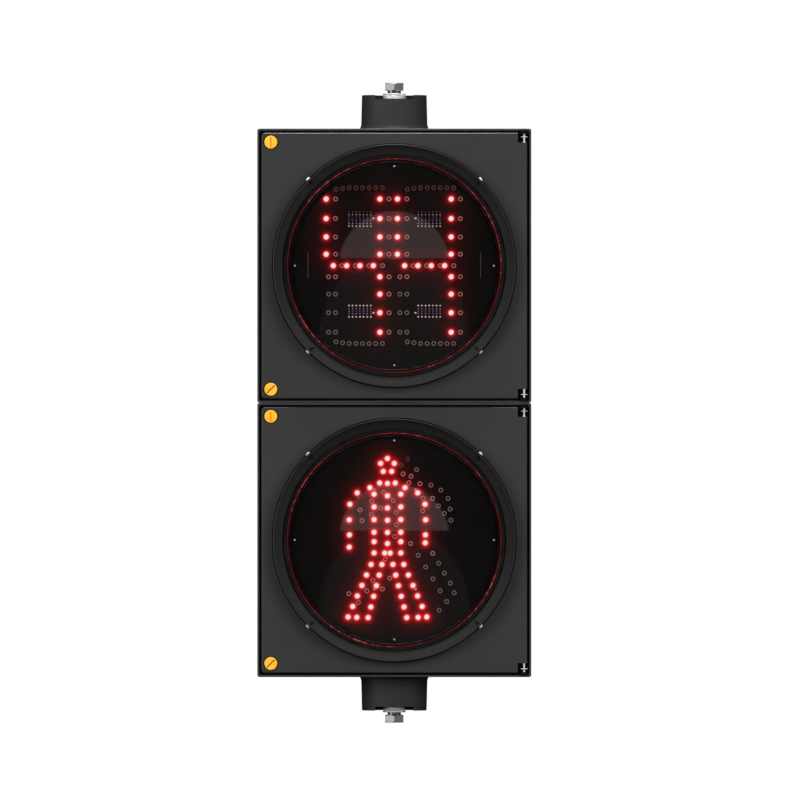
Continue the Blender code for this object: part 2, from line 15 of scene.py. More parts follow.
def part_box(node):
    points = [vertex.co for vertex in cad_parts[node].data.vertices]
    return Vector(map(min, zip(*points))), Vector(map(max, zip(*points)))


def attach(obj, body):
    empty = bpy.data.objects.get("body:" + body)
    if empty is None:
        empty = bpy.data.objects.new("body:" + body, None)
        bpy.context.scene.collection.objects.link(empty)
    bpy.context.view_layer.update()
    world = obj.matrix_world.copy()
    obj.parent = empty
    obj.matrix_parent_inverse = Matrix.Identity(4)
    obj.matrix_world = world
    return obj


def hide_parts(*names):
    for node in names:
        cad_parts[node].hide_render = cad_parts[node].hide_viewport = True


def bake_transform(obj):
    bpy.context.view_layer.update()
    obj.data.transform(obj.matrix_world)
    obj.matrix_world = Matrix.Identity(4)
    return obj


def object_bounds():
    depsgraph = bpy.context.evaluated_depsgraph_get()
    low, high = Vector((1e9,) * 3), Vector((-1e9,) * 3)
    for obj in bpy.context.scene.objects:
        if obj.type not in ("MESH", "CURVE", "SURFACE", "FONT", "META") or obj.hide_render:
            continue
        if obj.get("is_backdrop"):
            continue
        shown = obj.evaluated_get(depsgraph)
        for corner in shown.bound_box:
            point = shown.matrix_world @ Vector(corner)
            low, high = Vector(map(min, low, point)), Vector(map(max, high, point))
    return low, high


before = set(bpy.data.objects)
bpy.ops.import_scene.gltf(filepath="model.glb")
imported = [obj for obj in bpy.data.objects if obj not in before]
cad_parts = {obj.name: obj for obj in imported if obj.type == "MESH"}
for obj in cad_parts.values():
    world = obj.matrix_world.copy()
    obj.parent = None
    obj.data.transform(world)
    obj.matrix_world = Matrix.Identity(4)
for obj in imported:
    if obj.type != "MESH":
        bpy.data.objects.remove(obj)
CAD_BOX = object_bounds()

MM = 0.001
SECTIONS = ("upper", "lower")
ENDS = (("top", 1), ("bottom", -1))
ROOT = "signal_body"
QUARTER_ANGLES = [math.radians(angle) for angle in (45, 135, 225, 315)]
CROSS_ANGLES = [math.radians(angle) for angle in (0, 90, 180, 270)]


def cad_box(node):
    """Lowest and highest corner of a CAD node, in millimetres."""
    low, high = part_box(node)
    return Vector(low) / MM, Vector(high) / MM


# ---- Places taken from the frame -----------------------------------------------------------

CENTRE_Z = {}
for section in SECTIONS:
    low, high = cad_box(f"{section}_lens")
    CENTRE_Z[section] = (low.z + high.z) / 2
HOUSING_HIGH = cad_box("upper_housing")[1]
DOOR_LOW, DOOR_HIGH = cad_box("upper_door")
PIN_LOW, PIN_HIGH = cad_box("upper_hinge_pin_top")
LATCH_LOW, LATCH_HIGH = cad_box("upper_latch_top")
BOARD_FRONT = cad_box("upper_led_board")[0].y
BOSS_TOP = cad_box("top_boss")[1].z
BOSS_BOTTOM = cad_box("bottom_boss")[0].z

HALF_WIDTH = HOUSING_HIGH.x
HALF_HEIGHT = HOUSING_HIGH.z - CENTRE_Z["upper"]
REAR_FACE = HOUSING_HIGH.y
RIM_FRONT = -65.0
SEAM_TAKEUP = 0.14
RIM_THICKNESS = 1.8
WALL = 3.0
RIB_THICKNESS = 2.2
RIB_RISE = 4.0
LEDGE_FRONT = -57.0
LEDGE_OPENING = 116.0
LEDGE_CHAMFER = 30.0

DOOR_HALF = DOOR_HIGH.x
DOOR_FRONT = -68.0
DOOR_BACK = -59.3
COLLAR_FRONT = -DOOR_LOW.y
COLLAR_RADIUS = 118.7
COLLAR_BORE = 109.0
BORE_WIDENING = 9.1
GROOVE = (118.2, 119.9, 66.6, 68.2)
LENS_RADIUS = 105.0
LENS_RIM = 72.0
LENS_CROWN = 14.0
LENS_THICKNESS = 2.7
SKIRT_RADIUS = 102.2
FLANGE_RADIUS = 112.0
VISOR_SCREW_DEPTH = 82.0
BOARD_SCREW_CIRCLE = 97.5

HINGE_X = (PIN_LOW.x + PIN_HIGH.x) / 2
HINGE_Y = (PIN_LOW.y + PIN_HIGH.y) / 2
NOTCH = (9.3, 9.6)
BOSS_SPIGOT_HOLE = 11.3
SLEEVE_HOLE = 19.3
LATCH_X = (LATCH_LOW.x + LATCH_HIGH.x) / 2
LATCH_Z = (LATCH_LOW.z + LATCH_HIGH.z) / 2 - CENTRE_Z["upper"]
LATCH_TURN = {"top": math.radians(90), "bottom": math.radians(45)}


# ---- Mesh helpers --------------------------------------------------------------------------


def linked(obj):
    bpy.context.scene.collection.objects.link(obj)
    return obj


def shown_mesh(obj):
    """The object's mesh with its modifiers applied, or the mesh of a curve."""
    bpy.context.view_layer.update()
    graph = bpy.context.evaluated_depsgraph_get()
    return bpy.data.meshes.new_from_object(obj.evaluated_get(graph), depsgraph=graph)


def new_object(name, bm):
    """An object from a bmesh in millimetres."""
    bmesh.ops.scale(bm, vec=(MM, MM, MM), verts=bm.verts)
    bmesh.ops.recalc_face_normals(bm, faces=bm.faces)
    mesh = bpy.data.meshes.new(name)
    bm.to_mesh(mesh)
    bm.free()
    return linked(bpy.data.objects.new(name, mesh))


def block(low, high, corner=0.0, along=1, rounds=1, soft=0.0, matrix=Matrix()):
    """A box whose edges along one axis can be cut back, and whose other edges can be softened."""
    bm = bmesh.new()
    bmesh.ops.create_cube(bm, size=1.0)
    low, high = Vector(low), Vector(high)
    bmesh.ops.scale(bm, vec=high - low, verts=bm.verts)
    bmesh.ops.translate(bm, vec=(low + high) / 2, verts=bm.verts)
    if corner:
        edges = [edge for edge in bm.edges if abs((edge.verts[0].co - edge.verts[1].co)[along]) > 1e-6]
        bmesh.ops.bevel(bm, geom=edges, offset=corner, segments=rounds, profile=0.5, affect="EDGES")
    if soft:
        sharp = [edge for edge in bm.edges if edge.calc_face_angle() > 1.2]
        bmesh.ops.bevel(bm, geom=sharp, offset=soft, segments=3, profile=0.5, affect="EDGES")
    bmesh.ops.transform(bm, matrix=matrix, verts=bm.verts)
    return new_object("block", bm)


def case(half_x, half_z, centre_z, front, back, corner, lip, rear_too=False):
    """A box whose depthwise edges, and rear edges if asked, have one round and front edges another.

    Each round is given as its width and its number of segments.
    """
    bm = bmesh.new()
    bmesh.ops.create_cube(bm, size=1.0)
    bmesh.ops.scale(bm, vec=(2 * half_x, back - front, 2 * half_z), verts=bm.verts)
    bmesh.ops.translate(bm, vec=(0, (back + front) / 2, centre_z), verts=bm.verts)
    for (width, segments), chosen in (
        (corner, lambda low, high: high - low > 1 or (rear_too and low > back - 0.01)),
        (lip, lambda low, high: high < front + 0.01),
    ):
        edges = [edge for edge in bm.edges if chosen(*sorted(vert.co.y for vert in edge.verts))]
        bmesh.ops.bevel(bm, geom=edges, offset=width, segments=segments, profile=0.5, affect="EDGES")
    return new_object("case", bm)


def rod(radius, start, end, sides=32, matrix=Matrix()):
    start, end = Vector(start), Vector(end)
    direction = end - start
    bm = bmesh.new()
    bmesh.ops.create_cone(
        bm, cap_ends=True, segments=sides, radius1=radius, radius2=radius, depth=direction.length
    )
    turn = direction.to_track_quat("Z", "Y").to_matrix().to_4x4()
    place = matrix @ Matrix.Translation((start + end) / 2) @ turn
    bmesh.ops.transform(bm, matrix=place, verts=bm.verts)
    return new_object("rod", bm)


def depthwise(radius, x, z, front, back, sides=32, matrix=Matrix()):
    """A rod that runs from front to back."""
    return rod(radius, (x, front, z), (x, back, z), sides, matrix)


def vertical(radius, x, y, start, end, sides):
    """A rod that runs up or down."""
    return rod(radius, (x, y, start), (x, y, end), sides)


def span(middle, sign, near, far):
    """Two distances from a middle, on one side of it, as coordinates with the lower one first."""
    return sorted((middle + sign * near, middle + sign * far))


def rounded(points, closed=True, steps=4):
    """A profile whose (radius, height, fillet) corners are rounded. A corner with no fillet stays."""
    result = []
    count = len(points)
    for index, point in enumerate(points):
        here = Vector(point[:2])
        fillet = point[2] if len(point) > 2 else 0.0
        at_end = not closed and index in (0, count - 1)
        if not fillet or at_end:
            result.append(tuple(here))
            continue
        before = Vector(points[index - 1][:2]) - here
        after = Vector(points[(index + 1) % count][:2]) - here
        reach = min(fillet, before.length * 0.49, after.length * 0.49)
        first = here + before.normalized() * reach
        last = here + after.normalized() * reach
        for step in range(steps + 1):
            t = step / steps
            result.append(tuple(first * (1 - t) ** 2 + here * (2 * t * (1 - t)) + last * t**2))
    return result


def band(bm, first, second):
    """The faces between two rings of vertices. Either ring can be a single point."""
    sides = max(len(first), len(second))
    for step in range(sides):
        after = (step + 1) % sides
        corners = [first[step % len(first)], first[after % len(first)]]
        corners += [second[after % len(second)], second[step % len(second)]]
        corners = list(dict.fromkeys(corners))
        if len(corners) > 2:
            yield bm.faces.new(corners)


def lathe(profile, steps=128, centre=(0, 0, 0), upright=False, closed=True, matrix=Matrix()):
    """A solid turned about the Y axis, heights towards the front, or about Z if upright."""
    bm = bmesh.new()
    centre = Vector(centre)
    rings = []
    for radius, height in profile:
        spots = 1 if radius < 1e-6 else steps
        ring = []
        for step in range(spots):
            angle = 2 * math.pi * step / steps
            across, along = radius * math.cos(angle), radius * math.sin(angle)
            place = Vector((across, along, height)) if upright else Vector((across, -height, along))
            ring.append(bm.verts.new(matrix @ (centre + place)))
        rings.append(ring)
    pairs = list(zip(rings, rings[1:]))
    if closed:
        pairs.append((rings[-1], rings[0]))
    for first, second in pairs:
        list(band(bm, first, second))
    return new_object("lathe", bm)


def applied(obj):
    """The object with its modifiers made into its mesh."""
    mesh = shown_mesh(obj)
    obj.modifiers.clear()
    obj.data = mesh
    return obj


def combined(body, operation, tools):
    for tool in tools:
        boolean = body.modifiers.new(operation, "BOOLEAN")
        boolean.operation = operation
        boolean.solver = "EXACT"
        boolean.object = tool
    applied(body)
    for tool in tools:
        bpy.data.objects.remove(tool)
    return body


def welded(body, *tools):
    return combined(body, "UNION", tools)


def carved(body, *tools):
    return combined(body, "DIFFERENCE", tools)


def common(body, *tools):
    return combined(body, "INTERSECT", tools)


def joined(*objs):
    """One object that holds several loose solids."""
    bm = bmesh.new()
    for obj in objs:
        bm.from_mesh(obj.data)
    for obj in objs[1:]:
        bpy.data.objects.remove(obj)
    bm.to_mesh(objs[0].data)
    bm.free()
    return objs[0]


def softened(obj, width, angle=35):
    """Small rounds on the sharp edges, as moulding or machining leaves them."""
    bevel = obj.modifiers.new("round", "BEVEL")
    bevel.width = width * MM
    bevel.segments = 2
    bevel.limit_method = "ANGLE"
    bevel.angle_limit = math.radians(angle)
    bevel.use_clamp_overlap = True
    return applied(obj)


def piece(obj, name, body, finish, stands_for=()):
    """Names an object, gives it its finish and makes it ride on its CAD body."""
    obj.name = obj.data.name = name
    for material in finish if isinstance(finish, (list, tuple)) else [finish]:
        obj.data.materials.append(material)
    obj.data.shade_smooth()
    obj.data.set_sharp_from_angle(angle=math.radians(32))
    weighted = obj.modifiers.new("normals", "WEIGHTED_NORMAL")
    weighted.keep_sharp = True
    weighted.weight = 60
    if body:
        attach(obj, body)
    if stands_for:
        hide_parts(*stands_for)
    return obj


def stand_in(obj, node, body, finish):
    """A fine mesh that is shown in place of one CAD node."""
    return piece(obj, f"{node}_fine", body, finish, [node])


def paint(obj, test, *details):
    """Gives the second finish to the faces whose centre, in millimetres, passes the test."""
    for face in obj.data.polygons:
        face.material_index = int(test(face.center / MM, *details))


def from_axis(place, z):
    """Distance of a point from the lens axis at height z."""
    return math.hypot(place.x, place.z - z)


def middle_of(node):
    """Where a CAD node is centred, across and up."""
    low, high = cad_box(node)
    return (low.x + high.x) / 2, (low.z + high.z) / 2


def about(centre_z, angle):
    return Matrix.Translation((0, 0, centre_z)) @ Matrix.Rotation(-angle, 4, "Y")


def latch_matrix(centre_z, end, sign):
    place = Matrix.Translation((LATCH_X, 0, centre_z + sign * LATCH_Z))
    return place @ Matrix.Rotation(-LATCH_TURN[end], 4, "Y")


def box_about(z, half_x, half_z, front, back, **options):
    return block((-half_x, front, z - half_z), (half_x, back, z + half_z), **options)


# ---- Materials -----------------------------------------------------------------------------

NOISE_LOW, NOISE_HIGH = 0.3, 0.7
CLOUD_DETAIL = 4
WHITE = (1, 1, 1, 1)


class Nodes:
    """Short calls that add nodes to a tree."""

    def __init__(self, tree):
        self.tree = tree

    def node(self, kind, **inputs):
        made = self.tree.nodes.new(kind)
        for socket, value in inputs.items():
            self.feed(made.inputs[socket.replace("_", " ")], value)
        return made

    def feed(self, socket, value):
        if isinstance(value, bpy.types.NodeSocket):
            self.tree.links.new(value, socket)
        else:
            socket.default_value = value

    def math(self, operation, first, second):
        made = self.node("ShaderNodeMath")
        made.operation = operation
        self.feed(made.inputs[0], first)
        self.feed(made.inputs[1], second)
        return made.outputs["Value"]

    def mixed(self, share, first, second):
        """The output of a mix of two shaders."""
        made = self.node("ShaderNodeMixShader")
        for socket, source in zip(made.inputs, (share, first.outputs[0], second.outputs[0])):
            self.tree.links.new(source, socket)
        return made.outputs[0]

    def colours(self, source, *stops):
        made = self.node("ShaderNodeValToRGB", Fac=source)
        elements = made.color_ramp.elements
        while len(elements) < len(stops):
            elements.new(1.0)
        for element, (position, colour) in zip(elements, stops):
            element.position = position
            element.color = (*colour, 1)
        return made.outputs["Color"]


class Finish(Nodes):
    """A node material with a Principled shader."""

    def __init__(self, name, colour, roughness, metallic=0.0):
        self.material = bpy.data.materials.new(name)
        self.material.use_nodes = True
        super().__init__(self.material.node_tree)
        self.shader = self.tree.nodes["Principled BSDF"]
        self.set("Base Color", (*colour, 1))
        self.set("Roughness", roughness)
        self.set("Metallic", metallic)
        self.place = self.node("ShaderNodeTexCoord").outputs["Object"]

    def set(self, socket, value):
        self.feed(self.shader.inputs[socket], value)

    def noise(self, scale, detail=3.0, vector=None):
        vector = vector or self.place
        return self.node("ShaderNodeTexNoise", Scale=scale, Detail=detail, Vector=vector).outputs["Fac"]

    def spread(self, source, low, high):
        """A value between low and high that follows a noise."""
        made = self.node("ShaderNodeMapRange", Value=source, To_Min=low, To_Max=high)
        self.feed(made.inputs["From Min"], NOISE_LOW)
        self.feed(made.inputs["From Max"], NOISE_HIGH)
        return made.outputs["Result"]

    def tone(self, source, *stops):
        self.set("Base Color", self.colours(source, *stops))

    def finished_as(self, surface):
        """The material with another surface in place of the Principled shader."""
        self.tree.links.new(surface, self.tree.nodes["Material Output"].inputs["Surface"])
        self.tree.nodes.remove(self.shader)
        return self.material

    def bump(self, *layers):
        """Bumps from (height source, strength, distance in millimetres), one on another."""
        normal = None
        for source, strength, distance in layers:
            made = self.node("ShaderNodeBump", Height=source, Strength=strength, Distance=distance * MM)
            if normal:
                self.feed(made.inputs["Normal"], normal)
            normal = made.outputs["Normal"]
        self.set("Normal", normal)


def shade(colour, factor):
    return tuple(min(1.0, channel * factor) for channel in colour)


def moulded(name, colour, roughness, grain=900, specular=0.5):
    """Moulded plastic: a fine spark-eroded grain, and slow changes of tone and gloss."""
    made = Finish(name, colour, roughness)
    slow = made.noise(9, CLOUD_DETAIL)
    fine = made.noise(grain, 2)
    made.tone(slow, (NOISE_LOW, shade(colour, 0.94)), (NOISE_HIGH, shade(colour, 1.06)))
    made.set("Roughness", made.spread(made.noise(40, 5), roughness - 0.02, roughness + 0.03))
    made.set("Specular IOR Level", specular)
    made.bump((fine, 0.35, 0.05), (slow, 0.15, 0.4))
    return made.material


def plated_steel(name, metallic=1.0, dull=0.2, brightness=1.0):
    """Zinc plate: a crystalline mottle, drawn scratches and a duller film in patches."""
    made = Finish(name, (0.62, 0.62, 0.60), 0.3, metallic)
    mottle = made.node("ShaderNodeTexVoronoi", Scale=700, Vector=made.place).outputs["Distance"]
    film = made.noise(160, CLOUD_DETAIL)
    drawn = made.node("ShaderNodeMapping", Vector=made.place, Scale=(1, 1, 9)).outputs["Vector"]
    low, high = shade((0.44, 0.44, 0.43), brightness), shade((0.74, 0.73, 0.71), brightness)
    made.tone(film, (0.25, low), (0.75, high))
    made.set("Roughness", made.spread(film, dull, dull + 0.22))
    made.bump((made.noise(260, 3, drawn), 0.25, 0.03), (mottle, 0.12, 0.03))
    return made.material


def rubber(name):
    made = Finish(name, (0.006, 0.006, 0.006), 0.7)
    dust = made.noise(70, 5)
    made.tone(dust, (0.35, (0.003, 0.003, 0.003)), (0.8, (0.010, 0.010, 0.009)))
    made.set("Roughness", made.spread(dust, 0.6, 0.82))
    made.bump((made.noise(1200, 2), 0.4, 0.04))
    return made.material


def yellow_nylon(name):
    made = Finish(name, (0.88, 0.40, 0.03), 0.36)
    cloud = made.noise(140, CLOUD_DETAIL)
    made.tone(cloud, (NOISE_LOW, (0.84, 0.36, 0.022)), (NOISE_HIGH, (0.92, 0.47, 0.045)))
    made.set("Roughness", made.spread(cloud, 0.3, 0.45))
    made.bump((made.noise(1100, 2), 0.2, 0.03))
    return made.material


def circuit(name, mask, trace, shine):
    """Solder mask over copper: tracks show as slightly raised and paler lines."""
    made = Finish(name, mask, 0.45)
    turned = made.node("ShaderNodeMapping", Vector=made.place, Rotation=(math.radians(90), 0, 0))
    bricks = made.node("ShaderNodeTexBrick", Scale=1.0, Vector=turned.outputs["Vector"])
    for socket, size in (("Mortar Size", 0.0006), ("Brick Width", 0.012), ("Row Height", 0.005)):
        made.feed(bricks.inputs[socket], size)
    made.tone(bricks.outputs["Fac"], (0.0, mask), (1.0, trace))
    made.set("Roughness", made.spread(made.noise(220, 3), 0.36, 0.55))
    made.bump((bricks.outputs["Fac"], 0.1, 0.02))
    made.set("Specular IOR Level", shine)
    return made.material


def clear_lens(name):
    """Clear polished polycarbonate: what is behind shows, under a mirror-like skin."""
    made = Finish(name, (1, 1, 1), 0.02)
    clear = made.node("ShaderNodeBsdfTransparent", Color=(0.97, 0.955, 0.955, 1))
    ripple = made.node("ShaderNodeBump", Height=made.noise(6, 2), Strength=0.06, Distance=0.6 * MM)
    skin = made.node("ShaderNodeBsdfGlossy", Color=WHITE, Roughness=0.035, Normal=ripple.outputs["Normal"])
    facing = made.node("ShaderNodeFresnel", IOR=1.5)
    return made.finished_as(made.mixed(facing.outputs["Fac"], clear, skin))


def lamp_or_painted_glow(name, colour, strength, specular=0.5):
    """A clear or plated surface that gives off light: the lit LEDs themselves, and painted glows and glints
    on parts that give no light.
    """
    made = Finish(name, shade(colour, 0.5), 0.2)
    made.set("Emission Color", made.colours(made.noise(900, 2), (0.2, shade(colour, 0.9)), (0.8, colour)))
    made.set("Emission Strength", strength)
    made.set("Specular IOR Level", specular)
    return made.material


def dark_epoxy(name, colour, roughness):
    """Epoxy, lacquer, or the painted shade in the latches' slots, with a fine mottle. Unlit LEDs are dark
    inside, with a warm tint.
    """
    made = Finish(name, colour, roughness)
    made.tone(made.noise(500, 2), (NOISE_LOW, shade(colour, 0.75)), (NOISE_HIGH, shade(colour, 1.25)))
    return made.material


def painted_glow_film(name):
    """The haze of light around the lit LEDs, painted on a see-through sheet. Each point's colour and share
    are in the mesh.
    """
    made = Finish(name, (0, 0, 0), 1.0)
    light = made.node("ShaderNodeAttribute")
    light.attribute_name = "glow"
    clear = made.node("ShaderNodeBsdfTransparent")
    glow = made.node("ShaderNodeEmission", Color=light.outputs["Color"], Strength=1.0)
    return made.finished_as(made.mixed(light.outputs["Alpha"], clear, glow))


def painted_edge_glow(name):
    """The lens's edge, with a painted glow where the LEDs' light would leave it: dull red, with brighter
    runs and glints.
    """
    made = Finish(name, (0.02, 0.004, 0.004), 0.25)
    runs = made.math("MULTIPLY", made.noise(14, 3), made.noise(330, 3))
    levels = (0.17, (0.030, 0.002, 0.003)), (0.28, (0.09, 0.006, 0.008)), (0.38, (0.45, 0.06, 0.07))
    made.set("Emission Color", made.colours(runs, *levels))
    made.set("Emission Strength", 1.0)
    return made.material


HOUSING_PLASTIC = moulded("housing_plastic_black", (0.0320, 0.0320, 0.0323), 0.33)
DOOR_PLASTIC = moulded("door_plastic_black", (0.0285, 0.0285, 0.0288), 0.32)
BOSS_PLASTIC = moulded("boss_plastic_grey", (0.022, 0.022, 0.0225), 0.5, grain=700)
# Near-black painted shade for deep places: the housing's recess, the boss's slot and the groove round the
# collar.
PAINTED_SHADE_PLASTIC = moulded("painted_shade_plastic_black", (0.004, 0.004, 0.004), 0.6, specular=0.1)
MODULE_PLASTIC = moulded("module_plastic_grey", (0.09, 0.09, 0.095), 0.5)
COUPLING_PLASTIC = moulded("coupling_nylon_black", (0.03, 0.03, 0.032), 0.45)
TERMINAL_PLASTIC = moulded("terminal_nylon_cream", (0.55, 0.52, 0.44), 0.45)
STEEL = plated_steel("zinc_plated_steel")
# A paler, less metallic copy of the plated steel for washers, hinge pins and visor screw heads; its paleness
# is a painted highlight.
PALE_STEEL_PAINTED_HIGHLIGHT = plated_steel("zinc_plated_pale_painted_highlight", 0.3, 0.4, 1.3)
RUBBER = rubber("seal_rubber_black")
SHEATH = moulded("cable_sheath_black", (0.012, 0.012, 0.012), 0.5, grain=1500)
YELLOW = yellow_nylon("latch_nylon_yellow")
BLACK_BOARD = circuit("solder_mask_black", (0.0035, 0.003, 0.003), (0.005, 0.004, 0.004), 0.1)
GREEN_BOARD = circuit("solder_mask_green", (0.012, 0.09, 0.03), (0.04, 0.16, 0.06), 0.5)
LENS = clear_lens("clear_polycarbonate")
# The lens's edge, with a painted glow.
LENS_EDGE_PAINTED_GLOW = painted_edge_glow("lens_edge_painted_glow")
# The lens's skirt: painted shade with a faint painted red glow.
LENS_SKIRT_PAINTED_SHADE = lamp_or_painted_glow("lens_skirt_painted_shade_glow", (0.010, 0.0014, 0.0016), 1.0, specular=0.0)
# The painted haze round the lit LEDs.
PAINTED_HAZE = painted_glow_film("led_painted_haze")
LED_CORE = lamp_or_painted_glow("led_core_lit", (1.0, 0.82, 0.84), 2.2)
LED_SIDE = lamp_or_painted_glow("led_side_lit", (1.0, 0.02, 0.03), 1.4)
LED_DARK = dark_epoxy("led_epoxy_dark", (0.020, 0.008, 0.008), 0.12)
# Painted glows on the rims of unlit LEDs: pink near lit ones, grey elsewhere, dim in the top rows.
LED_RIM_PAINTED_PINK_GLOW = lamp_or_painted_glow("led_rim_painted_pink_glow", (0.50, 0.17, 0.18), 0.42)
LED_RIM_PAINTED_GREY_GLOW = lamp_or_painted_glow("led_rim_painted_grey_glow", (0.16, 0.13, 0.13), 0.55)
LED_RIM_PAINTED_DIM_GLOW = lamp_or_painted_glow("led_rim_painted_dim_glow", (0.07, 0.025, 0.025), 0.8)
# Painted shade in the latches' slots: deep in the bottom latches, light in the top ones.
SLOT_PAINTED_DEEP_SHADE = dark_epoxy("latch_slot_painted_deep_shade", (0.10, 0.045, 0.008), 0.7)
SLOT_PAINTED_LIGHT_SHADE = dark_epoxy("latch_slot_painted_light_shade", (0.80, 0.28, 0.012), 0.5)
BLACK_STEEL = dark_epoxy("board_screw_black", (0.005, 0.004, 0.004), 0.5)
# A painted glint in the middle of each board screw's head.
SCREW_PAINTED_GLINT = lamp_or_painted_glow("board_screw_painted_glint", (0.85, 0.72, 0.74), 0.7)
RESISTOR_BLUE = dark_epoxy("resistor_lacquer_blue", (0.012, 0.018, 0.07), 0.35)
RESISTOR_BAND = dark_epoxy("resistor_band_grey", (0.16, 0.13, 0.13), 0.4)
LINK_TIN = dark_epoxy("tinned_link", (0.09, 0.055, 0.055), 0.4)
WIRE_TIN = dark_epoxy("resistor_wire_dull", (0.012, 0.006, 0.007), 0.6)
# Solder joints with a painted glint.
SOLDER_PAINTED_GLINT = lamp_or_painted_glow("solder_joint_painted_glint", (0.80, 0.62, 0.62), 0.45)
CERAMIC = dark_epoxy("ceramic_white", (0.62, 0.55, 0.55), 0.4)


# ---- Housings ------------------------------------------------------------------------------


def hinge_hole(z, sign, near, far):
    """A cutter for the hinge pin's hole, between two distances from the section's centre."""
    return vertical(1.35, HINGE_X, HINGE_Y, z + sign * near, z + sign * far, 24)


def hinge_lug(z, sign):
    low, high = span(z, sign, 129.2, 132.8)
    eye = vertical(4.2, HINGE_X, HINGE_Y, low, high, 40)
    web = block((HINGE_X - 4.0, HINGE_Y, low), (132.6, LEDGE_FRONT + 1, high))
    return welded(eye, web)


def rear_details(z):
    """Grooves that frame the rear face, and the shallow marks of the mould's ejector pins."""
    outer = box_about(z, 108, 108, REAR_FACE - 0.8, REAR_FACE + 1, corner=10, rounds=6)
    inner = box_about(z, 105.6, 105.6, REAR_FACE - 2, REAR_FACE + 2, corner=9, rounds=6)
    marks = [
        depthwise(5, x, z + offset, REAR_FACE - 0.4, REAR_FACE + 2)
        for x in (-88, 88)
        for offset in (-88, 88)
    ]
    return [carved(outer, inner), *marks]


def wall_ribs(z):
    """Stiffening ribs inside the housing, on its side walls and its rear wall."""
    ribs = []
    half = RIB_THICKNESS / 2
    cavity, back = HALF_WIDTH - WALL, REAR_FACE - 1
    for side in (-1, 1):
        for up in (z - 70, z, z + 70):
            low, high = span(0, side, cavity - RIB_RISE, cavity + 1)
            ribs.append(block((low, -40, up - half), (high, back, up + half)))
    for x in (-60, 60):
        front = REAR_FACE - WALL - RIB_RISE
        ribs.append(block((x - half, front, z - 100), (x + half, back, z + 100)))
    return ribs


def housing(section):
    z = CENTRE_Z[section]
    shell = case(
        HALF_WIDTH, HALF_HEIGHT + SEAM_TAKEUP, z, RIM_FRONT, REAR_FACE, (2.2, 5), (0.8, 3), rear_too=True
    )
    ledge_back = LEDGE_FRONT + WALL
    recess, recess_height = HALF_WIDTH - RIM_THICKNESS, HALF_HEIGHT - RIM_THICKNESS
    cavity, cavity_height = HALF_WIDTH - WALL, HALF_HEIGHT - WALL
    shell = carved(
        shell,
        box_about(z, recess, recess_height, RIM_FRONT - 5, LEDGE_FRONT, corner=2, rounds=4),
        box_about(z, cavity, cavity_height, ledge_back, REAR_FACE - WALL, corner=2, rounds=4),
        box_about(z, LEDGE_OPENING, LEDGE_OPENING, LEDGE_FRONT - 2, ledge_back + 2, corner=LEDGE_CHAMFER),
        *rear_details(z),
    )
    shell = welded(shell, *wall_ribs(z))
    cutters = []
    for end, sign in ENDS:
        matrix = latch_matrix(z, end, sign)
        slot = block((-7.4, LEDGE_FRONT - 1, -2.2), (7.4, ledge_back + 1, 2.2), matrix=matrix)
        eye = depthwise(3.6, 0, 0, LEDGE_FRONT - 1, ledge_back + 1, matrix=matrix)
        cutters.append(welded(slot, eye))
        outer_end = (section == "upper") == (sign > 0)
        radius = BOSS_SPIGOT_HOLE if outer_end else SLEEVE_HOLE
        wall_z = z + sign * HALF_HEIGHT
        cutters.append(vertical(radius, 0, 0, wall_z - 8, wall_z + 6, 64))
    if section == "lower":
        x, entry_z = middle_of("cable_grommet")
        cutters.append(depthwise(10.3, x, entry_z, REAR_FACE - 9, REAR_FACE + 6, 48))
    shell = carved(shell, *cutters)
    shell = welded(shell, *(hinge_lug(z, sign) for _, sign in ENDS))
    shell = carved(shell, *(hinge_hole(z, sign, 120.0, 131.4) for _, sign in ENDS))
    shell = softened(shell, 0.35)

    # The recess behind the rim, the ledge and the hinge lugs get painted shade, a near-black finish for the
    # deep gap round the door.
    def in_painted_recess_shade(place):
        inside = max(abs(place.x), abs(place.z - z)) < HALF_WIDTH - RIM_THICKNESS + 0.2
        on_lug = place.x > HINGE_X - 6 and abs(place.z - z) > 128.8
        front = RIM_FRONT - 9 if on_lug else RIM_FRONT + 1.2
        return inside and front < place.y < LEDGE_FRONT + 0.5

    paint(shell, in_painted_recess_shade)
    finish = [HOUSING_PLASTIC, PAINTED_SHADE_PLASTIC]
    piece(shell, f"{section}_housing_shell", ROOT, finish, [f"{section}_housing"])


def hinge_pins(section):
    """Pins with a thinner neck that holds a snap ring."""
    z = CENTRE_Z[section]
    for end, sign in ENDS:
        profile = [
            (0, 102.6), (1.25, 102.6, 0.4), (1.25, 121.6, 0.2), (0.8, 122.2, 0.2), (0.8, 128.6, 0.2),
            (1.25, 129.3, 0.2), (1.25, 131.1, 0.4), (0, 131.1),
        ]
        matrix = Matrix.Translation((HINGE_X, HINGE_Y, z)) @ Matrix.Scale(sign, 4, (0, 0, 1))
        pin = lathe(rounded(profile, closed=False), 32, upright=True, closed=False, matrix=matrix)
        ring = rounded([(0.7, 125.8), (3.3, 125.8, 0.2), (3.3, 126.5, 0.2), (0.7, 126.5)])
        ring_gap = block((-0.9, 1.6, 125), (0.9, 5, 127), matrix=matrix)
        clip = carved(lathe(ring, 40, upright=True, matrix=matrix), ring_gap)
        stand_in(joined(pin, clip), f"{section}_hinge_pin_{end}", ROOT, PALE_STEEL_PAINTED_HIGHLIGHT)


def gasket(section):
    z = CENTRE_Z[section]
    front, back = DOOR_BACK + 0.3, LEDGE_FRONT - 0.3
    outer = box_about(z, 121.0, 121.0, front, back, corner=LEDGE_CHAMFER)
    inner = box_about(z, 117.0, 117.0, front - 1, back + 1, corner=LEDGE_CHAMFER)
    stand_in(softened(carved(outer, inner), 0.6), f"{section}_door_gasket", ROOT, RUBBER)


